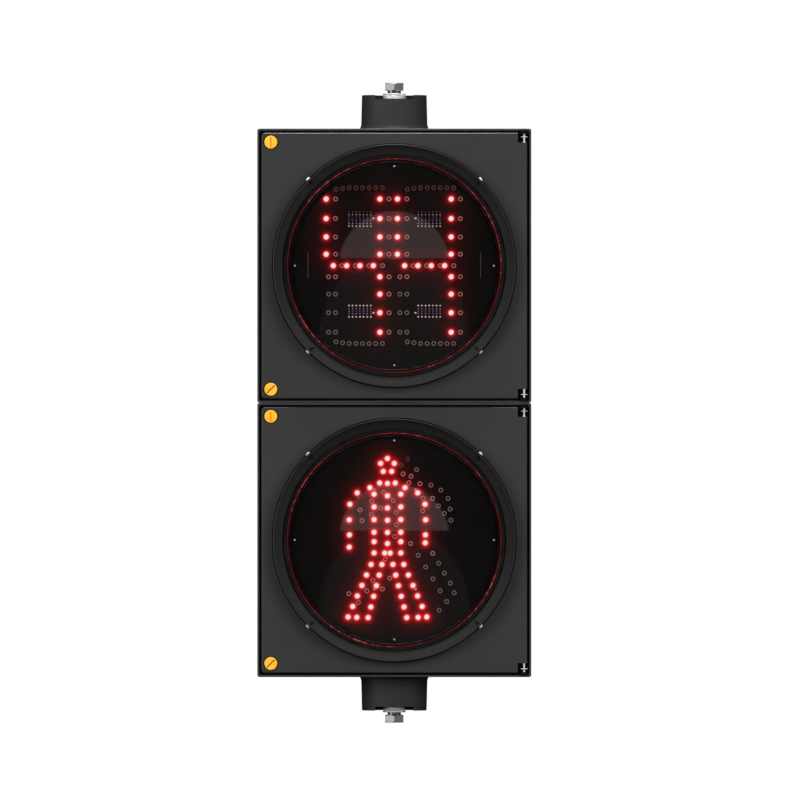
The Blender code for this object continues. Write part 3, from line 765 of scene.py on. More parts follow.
def terminal_block(section):
    z = CENTRE_Z[section]
    back = REAR_FACE - WALL - 0.3
    body = block((-40, 42, z - 10), (40, back, z + 10), corner=1.5, along=1, rounds=3, soft=0.5)
    pitch, poles = 13, 6
    first = -pitch * (poles - 1) / 2
    cutters = []
    screws = []
    for index in range(poles):
        x = first + pitch * index
        for side in (-5, 5):
            cutters.append(depthwise(2.4, x, z + side, 40, 46, 24))
            head = depthwise(2.2, x, z + side, 44.2, 47, 24)
            turn = Matrix.Translation((x, 0, z + side)) @ Matrix.Rotation(0.7 * index + side, 4, "Y")
            slit = block((-2.5, 43, -0.35), (2.5, 45, 0.35), matrix=turn)
            screws.append(carved(head, slit))
    for index in range(poles - 1):
        x = first + pitch * (index + 0.5)
        cutters.append(block((x - 0.6, 41, z - 12), (x + 0.6, 43.5, z + 12)))
    stand_in(carved(body, *cutters), f"{section}_terminal_block", ROOT, TERMINAL_PLASTIC)
    piece(joined(*screws), f"{section}_terminal_screws", ROOT, STEEL)


def cable(section):
    """One cable from the module's rear, past the hinge, to the terminal block."""
    z = CENTRE_Z[section]
    route = [
        (20, -3.4), (20, 4), (27, 9.5), (48, 11), (66, 8), (84, -3), (98, -12), (107, -9), (110.5, 4),
        (110, 20), (104, 34), (92, 42), (76, 46), (60, 48), (40.4, 49),
    ]
    curve = bpy.data.curves.new("cable", "CURVE")
    curve.dimensions = "3D"
    curve.bevel_depth = 3.0 * MM
    curve.bevel_resolution = 5
    curve.resolution_u = 16
    curve.use_fill_caps = True
    spline = curve.splines.new("BEZIER")
    spline.bezier_points.add(len(route) - 1)
    for point, (x, y) in zip(spline.bezier_points, route):
        point.co = Vector((x, y, z)) * MM
        point.handle_left_type = point.handle_right_type = "AUTO"
    source = linked(bpy.data.objects.new("cable", curve))
    mesh = shown_mesh(source)
    bpy.data.objects.remove(source)
    obj = linked(bpy.data.objects.new("cable", mesh))
    piece(obj, f"{section}_cable", None, SHEATH)
    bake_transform(obj)
    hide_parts(f"{section}_module_lead", f"{section}_supply_lead")


def grommet():
    x, z = middle_of("cable_grommet")
    end = cad_box("cable_grommet")[1].y
    inside, outside = REAR_FACE - WALL - 0.3, REAR_FACE + 0.3
    profile = [
        (5, -(inside - 3), 0.8), (13, -(inside - 3), 1.2), (13, -inside, 0.4), (10, -inside), (10, -outside),
        (13, -outside, 0.5), (11.5, -end, 1.0), (5, -end, 0.8),
    ]
    stand_in(lathe(rounded(profile), 64, centre=(x, 0, z)), "cable_grommet", ROOT, RUBBER)


# ---- Bosses, bolts and coupling ------------------------------------------------------------


M12_FLATS = 18.0
M12_PITCH = 1.75
SLOT_DEPTH = 4
SLOT_HALF = 18.7
SLOT_REAR = 22


def outwards(end, height):
    """The world height of a place so far above a boss's end face."""
    return BOSS_TOP + height if end == "top" else BOSS_BOTTOM - height


def end_span(end, near, far):
    return sorted((outwards(end, near), outwards(end, far)))


def end_profile(end, profile):
    return [(point[0], outwards(end, point[1]), *point[2:]) for point in profile]


def in_painted_slot_shade(place, end):
    in_depth = 0.7 < abs(place.z - outwards(end, 0)) < SLOT_DEPTH + 0.1
    return in_depth and abs(place.x) < SLOT_HALF + 0.1 and -31 < place.y < SLOT_REAR + 0.1


def boss(end):
    """A round boss with a flared foot, a spigot into the housing and a slot across its end face."""
    base = -33.1
    flare = ((32.45, 5.0), (32.55, 3.8), (32.8, 2.7), (33.15, 1.7), (33.55, 0.9), (33.9, 0.3), (33.9, 0))
    profile = [
        (6.6, 0, 0.3), (31.75, 0, 1.0), *((radius, base + rise) for radius, rise in flare), (30.0, base),
        (28.5, -12, 2.0), (11.0, -12, 2.0), (11.0, base - 2.8, 0.4), (6.6, base - 2.8, 0.3),
    ]
    body = lathe(rounded(end_profile(end, profile), steps=6), 128, upright=True)
    low, high = end_span(end, -SLOT_DEPTH, 3)
    slot = block((-SLOT_HALF, -40, low), (SLOT_HALF, SLOT_REAR, high))
    body = softened(carved(body, slot), 0.4)
    # The slot's faces get painted shade, a near-black finish for its dark inside.
    paint(body, in_painted_slot_shade, end)
    stand_in(body, f"{end}_boss", ROOT, [BOSS_PLASTIC, PAINTED_SHADE_PLASTIC])


def washers(end):
    for name, low, high in (("steel", -3.7, -0.2), ("lock", 0.1, 1.8)):
        profile = [(6.5, high, 0.2), (11.15, high, 0.45), (11.15, low, 0.45), (6.5, low, 0.2)]
        body = lathe(rounded(end_profile(end, profile)), 96, upright=True)
        stand_in(body, f"{end}_{name}_washer", ROOT, PALE_STEEL_PAINTED_HIGHLIGHT)


def chamfered_hexagon(flats, low, high, chamfer):
    """A hexagon with a vertex to the front, its corners cut by a cone at both ends."""
    reach = flats / math.sqrt(3)
    prism = vertical(reach, 0, 0, low, high, 6)
    cone = [(0, high), (flats / 2 * 0.97, high), (reach + 0.05, high - chamfer)]
    cone += [(reach + 0.05, low + chamfer), (flats / 2 * 0.97, low), (0, low)]
    return common(prism, lathe(cone, 96, upright=True, closed=False))


def clamp_bolt(end):
    head = chamfered_hexagon(M12_FLATS, *end_span(end, 4.4, 11.9), 1.1)
    profile = [(0, 4.5), (6.6, 4.5), (6.6, 2.1), (6.0, 1.9)]
    for index in range(1, 32):
        height = 1.9 - M12_PITCH * index
        profile += [(6.0, height + M12_PITCH * 0.4), (5.1, height)]
    profile += [(5.0, -56), (0, -56)]
    shank = lathe(end_profile(end, profile), 48, upright=True, closed=False)
    bolt = softened(joined(head, shank), 0.15, angle=50)
    stand_in(bolt, f"{end}_clamp_bolt", ROOT, STEEL)


def nut_plate(end):
    top = -36.7
    plate_low, plate_high = end_span(end, top - 5, top)
    nut_low, nut_high = end_span(end, top - 15.8, top - 4.6)
    plate = block((-25, -25, plate_low), (25, 25, plate_high), corner=6, along=2, rounds=5, soft=0.5)
    nut = chamfered_hexagon(M12_FLATS, nut_low, nut_high, 1.1)
    bore = vertical(6.4, 0, 0, min(plate_low, nut_low) - 5, max(plate_high, nut_high) + 5, 48)
    stand_in(carved(welded(plate, nut), bore), f"{end}_nut_plate", ROOT, STEEL)


def coupling():
    low, high = cad_box("coupling_sleeve")
    flange_low = high.z - 4
    profile = [(15, high.z, 0.6), (26, high.z, 0.8), (26, flange_low, 0.4), (19, flange_low)]
    for index in range(1, 9):
        height = flange_low - 5 - 1.9 * index
        profile += [(19, height + 0.8), (18.2, height)]
    profile += [(18.2, low.z, 0.4), (15, low.z, 0.6)]
    sleeve = lathe(rounded(profile), 96, upright=True)
    stand_in(sleeve, "coupling_sleeve", ROOT, COUPLING_PLASTIC)
    low, high = cad_box("coupling_nut")
    nut = chamfered_hexagon(50.0, low.z, high.z, 1.6)
    nut = carved(nut, vertical(SLEEVE_HOLE, 0, 0, low.z - 5, high.z + 5, 64))
    stand_in(nut, "coupling_nut", ROOT, COUPLING_PLASTIC)


# ---- Doors ---------------------------------------------------------------------------------


def collar(z):
    """The door's collar. Its bore widens towards the lip, and flattens as it does."""
    root = -DOOR_FRONT - WALL + 0.2
    depth = COLLAR_FRONT + DOOR_FRONT
    profile = [(COLLAR_BORE, root)]
    for step in range(9):
        t = step / 8
        widening = 0.45 * t + 0.55 * (1 - (1 - t) ** 2)
        profile.append((COLLAR_BORE + BORE_WIDENING * widening, -DOOR_FRONT + depth * t))
    profile += [(COLLAR_RADIUS, COLLAR_FRONT - 0.25, 0.2), (COLLAR_RADIUS, -DOOR_FRONT + 3, 0.6)]
    profile.append((COLLAR_RADIUS, root))
    return lathe(rounded(profile, steps=6), 192, centre=(0, 0, z))


def module_hook(z, angle):
    """A snap hook on the door's rear that holds the module's flange."""
    matrix = about(z, angle)
    stem = block((FLANGE_RADIUS + 0.4, -65.6, -7), (FLANGE_RADIUS + 3.4, -52.6, 7), matrix=matrix)
    barb = block((FLANGE_RADIUS - 3, -54.9, -6.9), (FLANGE_RADIUS + 3.2, -52.4, 6.9), matrix=matrix)
    return welded(stem, barb)


def door(section):
    z = CENTRE_Z[section]
    tray = case(DOOR_HALF, DOOR_HALF, z, DOOR_FRONT, DOOR_BACK, (3.5, 8), (1.5, 5))
    inside = DOOR_HALF - WALL
    hollow = box_about(z, inside, inside, DOOR_FRONT + WALL, DOOR_BACK + 2, corner=1.5, rounds=3)
    opening = depthwise(COLLAR_BORE + 4, 0, z, DOOR_FRONT - 4, DOOR_FRONT + 6, 96)
    tray = carved(tray, hollow, opening)
    outer = box_about(z, 120.5, 120.5, DOOR_FRONT + 2, DOOR_BACK, corner=LEDGE_CHAMFER)
    inner = box_about(z, 117.5, 117.5, DOOR_FRONT + 1, DOOR_BACK + 1, corner=LEDGE_CHAMFER)
    additions = [carved(outer, inner)]
    additions += [module_hook(z, angle) for angle in QUARTER_ANGLES]
    for _, sign in ENDS:
        low, high = span(z, sign, 98, 128)
        additions.append(block((117.9, DOOR_FRONT + 2, low), (128, DOOR_BACK - 0.3, high)))
        additions.append(depthwise(8.9, LATCH_X, z + sign * LATCH_Z, DOOR_FRONT + 2, -60, 48))
    tray = welded(tray, *additions)
    tray = welded(tray, collar(z))
    cutters = []
    for _, sign in ENDS:
        cutters.append(depthwise(7.5, LATCH_X, z + sign * LATCH_Z, DOOR_FRONT - 5, -65, 64))
        cutters.append(depthwise(3.3, LATCH_X, z + sign * LATCH_Z, DOOR_FRONT - 2, -55))
        low, high = span(z, sign, DOOR_HALF - NOTCH[1], DOOR_HALF + 5)
        start = (DOOR_HALF - NOTCH[0], DOOR_FRONT - 5, low)
        cutters.append(block(start, (DOOR_HALF + 5, DOOR_BACK + 5, high)))
        cutters.append(hinge_hole(z, sign, 90, 122))
    for angle in QUARTER_ANGLES:
        hole = ((105, -VISOR_SCREW_DEPTH, 0), (125, -VISOR_SCREW_DEPTH, 0))
        cutters.append(rod(1.8, *hole, sides=24, matrix=about(z, angle)))
    tray = softened(carved(tray, *cutters), 0.3, angle=40)
    inner, outer, floor, top = GROOVE
    groove = [(inner, floor), (inner, top), (outer, top), (outer, floor)]
    tray = carved(tray, lathe(groove, 192, centre=(0, 0, z)))

    # The groove round the collar's foot gets painted shade: a near-black line outside the collar.
    def in_painted_groove_shade(place):
        radius = from_axis(place, z)
        return inner - 0.1 < radius < outer + 0.05 and floor - 0.1 < -place.y < top - 0.25

    paint(tray, in_painted_groove_shade)
    body = f"{section}_door"
    piece(tray, f"{body}_shell", body, [DOOR_PLASTIC, PAINTED_SHADE_PLASTIC], [body])


def pan_screw(start, head_at, end, shank, head, rise, matrix):
    """A screw on the local X axis from start to end, its domed head beginning at head_at."""
    profile = [(0, start), (shank, start, 0.3), (shank, head_at), (head, head_at, 0.3)]
    profile += [(head, head_at + rise * 0.45, 0.5), (head * 0.6, end - 0.1, 0.6)]
    profile += [(head * 0.34, end), (0, end)]
    turned = matrix @ Matrix.Rotation(math.radians(90), 4, "Y")
    body = lathe(rounded(profile, closed=False), 40, upright=True, closed=False, matrix=turned)
    cross = [
        block((end - 0.9, -across, -up), (end + 1, across, up), matrix=matrix)
        for across, up in ((head * 0.62, 0.28), (0.28, head * 0.62))
    ]
    return carved(body, welded(*cross))


def visor_screws(section):
    """Screws through the collar that would hold a visor. Only their heads are bright."""
    z = CENTRE_Z[section]
    for index, angle in enumerate(QUARTER_ANGLES):
        place = about(z, angle) @ Matrix.Translation((0, -VISOR_SCREW_DEPTH, 0))
        screw = pan_screw(112.2, 119.0, 120.8, 1.5, 2.4, 1.8, place)
        paint(screw, lambda centre: from_axis(centre, z) < 118.8)
        node = f"{section}_visor_screw_{index + 1}"
        stand_in(screw, node, f"{section}_door", [PALE_STEEL_PAINTED_HIGHLIGHT, BLACK_STEEL])


def board_screws(section):
    """Blackened screws near the board's rim, with a painted glint in the middle of each head."""
    z = CENTRE_Z[section]
    for index, angle in enumerate(CROSS_ANGLES):
        towards_front = Matrix.Rotation(math.radians(-90), 4, "Z")
        place = about(z, angle) @ Matrix.Translation((BOARD_SCREW_CIRCLE, 0, 0)) @ towards_front
        screw = pan_screw(51.0, 60.4, 62.3, 1.5, 2.6, 1.9, place)
        middle = place @ Vector((62.3, 0, 0))
        paint(screw, lambda centre, middle: (centre - middle).length < 1.0, middle)
        node = f"{section}_board_screw_{index + 1}"
        stand_in(screw, node, f"{section}_door", [BLACK_STEEL, SCREW_PAINTED_GLINT])


def in_painted_latch_slot_shade(place, unturned):
    place = unturned @ place
    return abs(place.z) < 0.62 and abs(place.x) < 5.4 and -68.15 < place.y < -67.0


def latches(section):
    """Quarter-turn latches: a slotted head, a shank and two ears behind the ledge."""
    z = CENTRE_Z[section]
    for end, sign in ENDS:
        matrix = latch_matrix(z, end, sign)
        profile = [(0, 51.4), (2.7, 51.4, 0.3), (3.0, 52.2), (3.0, 65.3, 0.3), (6.3, 65.3, 0.3)]
        profile += [(6.3, 68.3, 0.55), (5.4, 68.4, 0.4), (0, 68.35)]
        body = lathe(rounded(profile, closed=False), 72, closed=False, matrix=matrix)
        ears = block((-6.5, -53.7, -1.5), (6.5, -51.0, 1.5), matrix=matrix, soft=0.3)
        slot = block((-5.3, -70, -0.55), (5.3, -67.1, 0.55), matrix=matrix)
        body = softened(carved(welded(body, ears), slot), 0.12, angle=45)
        # The slot's faces get painted shade: light in the top latches, deep in the bottom ones.
        paint(body, in_painted_latch_slot_shade, matrix.inverted())
        node = f"{section}_latch_{end}"
        stand_in(body, node, node, [YELLOW, SLOT_PAINTED_LIGHT_SHADE if end == "top" else SLOT_PAINTED_DEEP_SHADE])


# ---- Optical module ------------------------------------------------------------------------


def dome(radius, crown, rim, count):
    """A profile that follows a sphere, from its crown out to a rim of this radius and height."""
    sphere = (radius**2 + crown**2) / (2 * crown)
    reach = math.asin(radius / sphere)
    centre = rim + crown - sphere
    angles = [reach * step / count for step in range(count + 1)]
    return [(sphere * math.sin(angle), centre + sphere * math.cos(angle)) for angle in angles]


def lens(section):
    """A clear dome on a straight skirt with painted shade and a faint painted red glow, and a ring with a
    painted glow where its edge is.
    """
    z = CENTRE_Z[section]
    outer = dome(LENS_RADIUS, LENS_CROWN, LENS_RIM, 24)
    inner_radius = LENS_RADIUS - LENS_THICKNESS
    inner = dome(inner_radius, LENS_CROWN - 0.6, LENS_RIM - 2.1, 20)
    flange = [(LENS_RADIUS, 61.5), (FLANGE_RADIUS, 61.5), (FLANGE_RADIUS, 58.5), (inner_radius, 58.5)]
    body = lathe(outer + flange + inner[::-1], 160, centre=(0, 0, z), closed=False)
    # The skirt's faces get painted shade with a faint painted red glow.
    paint(body, lambda place: -place.y < LENS_RIM - 0.01 and from_axis(place, z) > SKIRT_RADIUS)
    stand_in(body, f"{section}_lens", f"{section}_door", [LENS, LENS_SKIRT_PAINTED_SHADE])
    edge = ((104.1, 0.25), (105.15, 0.05), (105.15, -2), (104.1, -2))
    ring = lathe([(radius, LENS_RIM + rise) for radius, rise in edge], 192, centre=(0, 0, z))
    piece(ring, f"{section}_lens_edge", f"{section}_door", LENS_EDGE_PAINTED_GLOW)


def lens_seal(section):
    inner, outer = LENS_RADIUS + 0.3, COLLAR_BORE - 0.3
    profile = [(inner, 71.5, 1.2), (outer, 71.5, 0.8), (outer, 64.7), (FLANGE_RADIUS, 64.7)]
    profile += [(FLANGE_RADIUS, 61.8), (inner, 61.8)]
    ring = lathe(rounded(profile), 160, centre=(0, 0, CENTRE_Z[section]))
    stand_in(ring, f"{section}_lens_seal", f"{section}_door", RUBBER)


def module_bowl(section):
    """The module's rear shell, with ribs outside it and a hole for the cable."""
    z = CENTRE_Z[section]
    profile = [
        (0, -2), (58, -2, 3), (97, 30, 6), (97, 46, 1), (93.5, 50, 1), (93.5, 58.2),
        (FLANGE_RADIUS, 58.2, 0.4), (FLANGE_RADIUS, 55.2, 0.4), (100, 55.2, 1.2), (100, 30, 6),
        (61, -5, 4), (0, -5),
    ]
    body = lathe(rounded(profile, closed=False), 128, centre=(0, 0, z), closed=False)
    turns = [about(z, math.radians(30 * index + 15)) for index in range(12)]
    half = RIB_THICKNESS / 2
    ribs = [block((62, -55.4, -half), (FLANGE_RADIUS - 4, 4.0, half), matrix=turn) for turn in turns]
    outline = [(60.5, 3.0), (60.5, -4.6), (64.5, -4.6), (103.4, 29.5), (103.4, 55.6), (98.5, 55.6)]
    outline.append((98.5, 32))
    ribs = common(joined(*ribs), lathe(outline, 128, centre=(0, 0, z)))
    cable_hole = depthwise(5.0, 20, z, -4, 8, 40)
    body = softened(carved(welded(body, ribs), cable_hole), 0.3, angle=50)
    stand_in(body, f"{section}_module_bowl", f"{section}_door", MODULE_PLASTIC)


# ---- LEDs and their circuit ----------------------------------------------------------------


def evenly(path, count):
    """Count points spread evenly along a path of straight stretches, ends included."""
    lengths = [math.dist(a, b) for a, b in zip(path, path[1:])]
    total = sum(lengths)
    places = []
    for index in range(count):
        left = total * index / (count - 1)
        for (a, b), length in zip(zip(path, path[1:]), lengths):
            if left <= length + 1e-9:
                t = left / length
                places.append((a[0] + (b[0] - a[0]) * t, a[1] + (b[1] - a[1]) * t))
                break
            left -= length
    return places


DIGIT_WIDTH = 52.6
DIGIT_LEFTS = (-66.7, 3.1)
DIGIT_ROWS = (65.3, 46.1, 28.1, 11.2, -10.9, -27.9, -46.1, -65.2)


def digit_four(left):
    """One digit of the countdown, showing a four: its lit and its unlit LEDs."""
    right = left + DIGIT_WIDTH
    lit = [(right, z) for z in DIGIT_ROWS] + [(left, z) for z in DIGIT_ROWS[:4]]
    lit += evenly([(left + 7.0, 0), (left + 46.2, 0)], 4)
    unlit = [(right + 9.0, z) for z in DIGIT_ROWS] + [(left + 9.2, z) for z in DIGIT_ROWS[:4]]
    unlit += [(left + 2.4 + pair, z) for pair in (0, 6.8) for z in DIGIT_ROWS[4:]]
    unlit += evenly([(left + 15.2, 0), (left + 55.2, 0)], 4)
    for edge in (1, -1):
        unlit += evenly([(left + x, z * edge) for x, z in ((9.7, 74.6), (22, 76.3), (55, 76.3))], 8)
    return lit, unlit


def countdown():
    """Two digits, one pitch apart."""
    first, second = (digit_four(left) for left in DIGIT_LEFTS)
    return first[0] + second[0], first[1] + second[1]


def mirrored(points, middle):
    return [(middle + side * x, z) for side in (-1, 1) for x, z in points]


def standing_person():
    """The figure of a person who waits: two mirrored halves, two hands and a middle row."""
    middle = -6.7
    head = 7.0
    half = [(head * math.sin(a), 72.8 + head * math.cos(a)) for a in (math.radians(72), math.radians(144))]
    half += [(7.6, 55.8), (17.2, 51.2), (29.6, 46.1), (36.8, 35.0), (37.4, 19.7), (37.2, 5.0)]
    half += evenly([(13.1, 44.8), (13.1, 7.5)], 4) + [(13.1, -1.7), (13.1, -12.7), (2.7, -12.8)]
    half += evenly([(5.4, -24), (18.9, -76)], 6) + evenly([(16, -24), (38.5, -75.4)], 6) + [(30.0, -75.8)]
    hands = [(middle - 37.4, -7.0), (middle + 37.0, -2.8)]
    return mirrored(half, middle) + hands + [(middle, z) for z in (79.8, 55.4, 43.2, 31.3, 19.3, 7.3, -3.5)]


def walking_person():
    """The outline of a person in mid stride, as strokes of evenly spaced LEDs."""
    around = [math.radians(100 + 62 * step) for step in range(5)]
    head = [(14.3 + 7.8 * math.cos(a), 70.6 + 8.6 * math.sin(a)) for a in around]
    far_arm = evenly([(14.3, 56), (35, 54.2), (46, 48.6), (54, 39), (55.4, 19.3)], 7)
    far_arm += evenly([(49, 26), (37, 41.2), (28.4, 40.9)], 4)
    far_leg = evenly([(27.8, 28.5), (27, 2), (38, -13.5), (59.7, -50.7), (43.9, -68.8)], 11)
    far_leg += evenly([(44.9, -49.8), (31, -27), (16, -3.6)], 5)
    near_leg = evenly([(9.4, -15.9), (-8, -43), (-26.3, -69.6), (-44.5, -52.6)], 8)
    near_leg += evenly([(-26.9, -50), (-8.1, -17.7), (2.2, 7.7), (1.8, 30), (-1, 38.6)], 9)
    near_arm = evenly([(2.5, 51.9), (-10.3, 46.9), (-33.8, 29.1), (-46.4, 23.1)], 5)
    near_arm += evenly([(-13.1, 31.2), (-31.7, 19)], 3)
    return head + far_arm + far_leg + near_leg + near_arm


LED_RADIUS = 2.5
LED_SHOULDER = 5.6
LED_FOOT = [(0, 0), (2.9, 0), (2.9, 1.0), (LED_RADIUS, 1.0), (LED_RADIUS, LED_SHOULDER)]
LED_DOME_STEPS = 5
LED_SIDES = 20
LIT_BANDS = range(4, 12)
TOP_ROWS = 72
TINTED_WITHIN = 13
LEDS_APART = 5.2


def led_profile():
    """A lit LED: its foot, its side and a round top."""
    profile = list(LED_FOOT)
    for step in range(1, LED_DOME_STEPS):
        angle = math.radians(90) * step / LED_DOME_STEPS
        profile.append((LED_RADIUS * math.cos(angle), LED_SHOULDER + LED_RADIUS * math.sin(angle)))
    return [*profile, (0, LED_SHOULDER + LED_RADIUS)]


def nearest(place, others):
    return min(math.dist(place, other) for other in others)


def many(profile, places, z, sides, bright_bands):
    """Copies of one turned shape on the board, in one mesh. Bright bands have the second finish."""
    bm = bmesh.new()
    for x, up in places:
        rings = []
        for radius, height in profile:
            spots = 1 if radius < 1e-6 else sides
            ring = []
            for step in range(spots):
                angle = 2 * math.pi * step / sides
                across, along = radius * math.cos(angle), radius * math.sin(angle)
                ring.append(bm.verts.new((x + across, BOARD_FRONT - height, z + up + along)))
            rings.append(ring)
        for index, (first, second) in enumerate(zip(rings, rings[1:])):
            for face in band(bm, first, second):
                face.material_index = int(index in bright_bands)
    return new_object("many", bm)


def led_fields(section, lit, unlit):
    """The lit LEDs, and the unlit ones with a painted glow on their rims that is pink near lit ones and dim
    at the top.
    """
    z = CENTRE_Z[section]
    body = f"{section}_door"
    lit_leds = many(led_profile(), lit, z, LED_SIDES, LIT_BANDS)
    piece(lit_leds, f"{section}_leds_lit", body, [LED_SIDE, LED_CORE])
    hollow = LED_FOOT + [(2.3, 6.6), (2.15, 7.0), (1.5, 7.0), (1.3, 6.4), (0.7, 5.7), (0, LED_SHOULDER)]
    inner = [place for place in unlit if abs(place[1]) < TOP_ROWS]
    pink_glowing = [place for place in inner if nearest(place, lit) < TINTED_WITHIN]
    plain = [place for place in unlit if place not in pink_glowing and place[1] < TOP_ROWS]
    upper_row = [place for place in unlit if place[1] >= TOP_ROWS]
    groups = (("pink_glowing", pink_glowing, LED_RIM_PAINTED_PINK_GLOW), ("plain", plain, LED_RIM_PAINTED_GREY_GLOW), ("dim", upper_row, LED_RIM_PAINTED_DIM_GLOW))
    for name, places, rim in groups:
        if not places:
            continue
        dark_leds = many(hollow, places, z, LED_SIDES, (5, 6))
        piece(dark_leds, f"{section}_leds_unlit_{name}", body, [LED_DARK, rim])


HAZE_HEIGHT = 69.4
HAZE_STEP = 0.75
HAZE_RADIUS = 98.0
HAZE_REACH = 30.0


def haze_colour(distances, reach, spread):
    """Colour and share of the haze at a point, from its distances to the lit LEDs."""
    near = wide = white = 0.0
    for distance in distances:
        near += min(1.0, math.exp(-0.85 * (distance - reach)))
        wide += spread * math.exp(-((distance / 15) ** 2))
        white = max(white, min(1.0, max(0.0, (2.95 - distance) / 1.45)))
    share = min(1.0, near * 0.98 + wide)
    white = white * white * (3 - 2 * white)
    return (1.0, 0.012 + 0.985 * white, 0.018 + 0.98 * white, max(share, white))


def haze_cell(x, up):
    """The square of the search grid that a point is in. No light reaches past its neighbours."""
    return int(x // HAZE_REACH), int(up // HAZE_REACH)


def haze(section, lit, edge, spread):
    """A see-through sheet in front of the LEDs, with the glow a camera sees around each one painted on it.
    """
    z = CENTRE_Z[section]
    bm = bmesh.new()
    count = int(HAZE_RADIUS / HAZE_STEP)
    cells = {}
    for place in lit:
        cells.setdefault(haze_cell(*place), []).append(place)
    grid = {}
    colours = []
    for row in range(-count, count + 1):
        for column in range(-count, count + 1):
            x, up = column * HAZE_STEP, row * HAZE_STEP
            if x * x + up * up > HAZE_RADIUS**2:
                continue
            across, along = haze_cell(x, up)
            near = [
                math.dist((x, up), place)
                for key in itertools.product(range(across - 1, across + 2), range(along - 1, along + 2))
                for place in cells.get(key, ())
            ]
            grid[column, row] = bm.verts.new((x, -HAZE_HEIGHT, z + up))
            colours.append(haze_colour(near, edge, spread))
    for column, row in grid:
        corners = [(column, row), (column, row + 1), (column + 1, row + 1), (column + 1, row)]
        if all(corner in grid for corner in corners):
            bm.faces.new([grid[corner] for corner in corners])
    film = new_object("haze", bm)
    layer = film.data.color_attributes.new("glow", "FLOAT_COLOR", "POINT")
    layer.data.foreach_set("color", [channel for colour in colours for channel in colour])
    piece(film, f"{section}_led_painted_haze", f"{section}_door", PAINTED_HAZE)
    film.visible_diffuse = film.visible_glossy = film.visible_shadow = False


RESISTOR_PITCH = 3.57
UPPER_DOTS = ((7.2, 0.25), (4.4, 0.5), (2.2, 0.25), (-4.2, 0.5), (-6.8, 0.7))
LOWER_DOTS = ((5.5, 0.85), (2.6, 0.4), (-2.6, 0.4), (-5.5, 0.85))


def resistor_places():
    """Four groups of seven upright resistors beside the digits."""
    groups = [(x, z) for x in (-44.4, 23.5) for z in (45.5, -44.6)]
    return [(x + RESISTOR_PITCH * index, z) for x, z in groups for index in range(7)]


def resistors():
    """Banded resistors on their wires, solder joints as (offset, radius), and two wire links."""
    z = CENTRE_Z["upper"]
    body = "upper_door"
    height = -BOARD_FRONT + 1.4
    hulls, bands, wires, joints = [], [], [], []
    shape = [(0, -1.9), (0.8, -1.9, 0.4), (0.95, -1.1, 0.3), (0.75, -0.6, 0.2), (0.75, 0.6, 0.2)]
    shape += [(0.95, 1.1, 0.3), (0.8, 1.9, 0.4), (0, 1.9)]
    hull = rounded(shape, closed=False, steps=2)
    for x, up in resistor_places():
        middle, dots = (-0.9, UPPER_DOTS) if up > 0 else (0.0, LOWER_DOTS)
        place = Matrix.Translation((x, -height, z + up + middle))
        hulls.append(lathe(hull, 12, upright=True, closed=False, matrix=place))
        for offset in (-0.5, 0, 0.5):
            ring = [(0.7, offset - 0.1), (0.8, offset - 0.1), (0.8, offset + 0.1), (0.7, offset + 0.1)]
            bands.append(lathe(ring, 12, upright=True, matrix=place))
        for start, end in ((1.0, dots[0][0]), (-1.6, dots[-1][0])):
            wires.append(rod(0.13, (x, -height, z + up + start), (x, -height, z + up + end), 8))
        for offset, radius in dots:
            joint = [(0, height + 0.5), (radius * 0.5, height + 0.4), (radius, height - 0.3)]
            joint += [(radius, -BOARD_FRONT), (0, -BOARD_FRONT)]
            joints.append(lathe(joint, 12, (x, 0, z + up + offset), closed=False))
    links = []
    for x in (-84.5, 84.5):
        links.append(rod(0.35, (x, -height, z - 11.5), (x, -height, z + 12.5), 10))
        for offset in (-11.5, 12.5):
            links.append(rod(0.35, (x, -height - 0.35, z + offset), (x, BOARD_FRONT, z + offset), 10))
    for name, solids, finish in (
        ("resistors", hulls, RESISTOR_BLUE),
        ("resistor_bands", bands, RESISTOR_BAND),
        ("resistor_leads", wires, WIRE_TIN),
        ("resistor_joints", joints, SOLDER_PAINTED_GLINT),
        ("wire_links", links, LINK_TIN),
    ):
        piece(joined(*solids), f"upper_{name}", body, finish)


def small_parts(section, places):
    """White ceramic parts beside the LED groups."""
    z = CENTRE_Z[section]
    parts = []
    for x, up in places:
        low = (x - 1.0, BOARD_FRONT - 1.4, z + up - 0.8)
        parts.append(block(low, (x + 1.0, BOARD_FRONT + 0.2, z + up + 0.8), soft=0.25))
    piece(joined(*parts), f"{section}_ceramic_parts", f"{section}_door", CERAMIC)


def optical_module(section):
    """The upper module counts down. The lower one shows a person who waits."""
    for build in (lens, lens_seal, module_bowl, board_screws):
        build(section)
    if section == "upper":
        lit, unlit, edge, spread = *countdown(), 2.45, 0.0115
        resistors()
        small_parts(section, [(x, z) for x in (-20.4, 20.8) for z in (46.4, -46.1)])
    else:
        lit, unlit, edge, spread = standing_person(), walking_person(), 2.85, 0.0135
        unlit = [place for place in unlit if nearest(place, lit) > LEDS_APART]
        small_parts(section, [(x, z) for x in (-19.6, 20.8) for z in (49.3, -48.2)])
    led_fields(section, lit, unlit)
    haze(section, lit, edge, spread)


def repaint_cad():
    """Finishes for the CAD nodes that keep their own shape."""
    for section in SECTIONS:
        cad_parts[f"{section}_led_board"].data.materials[0] = BLACK_BOARD
        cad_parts[f"{section}_driver_board"].data.materials[0] = GREEN_BOARD


# ---- Stage ---------------------------------------------------------------------------------


LIT_MIDDLE = Vector((0, 0, -0.30))
WINDOW_LIGHT = 0.38
FLOOR_LIGHT = 0.05
ROOM_TONES = ((0.0, 0.03), (0.47, 0.02), (0.55, 0.015), (0.75, 0.02), (1.0, 0.2))


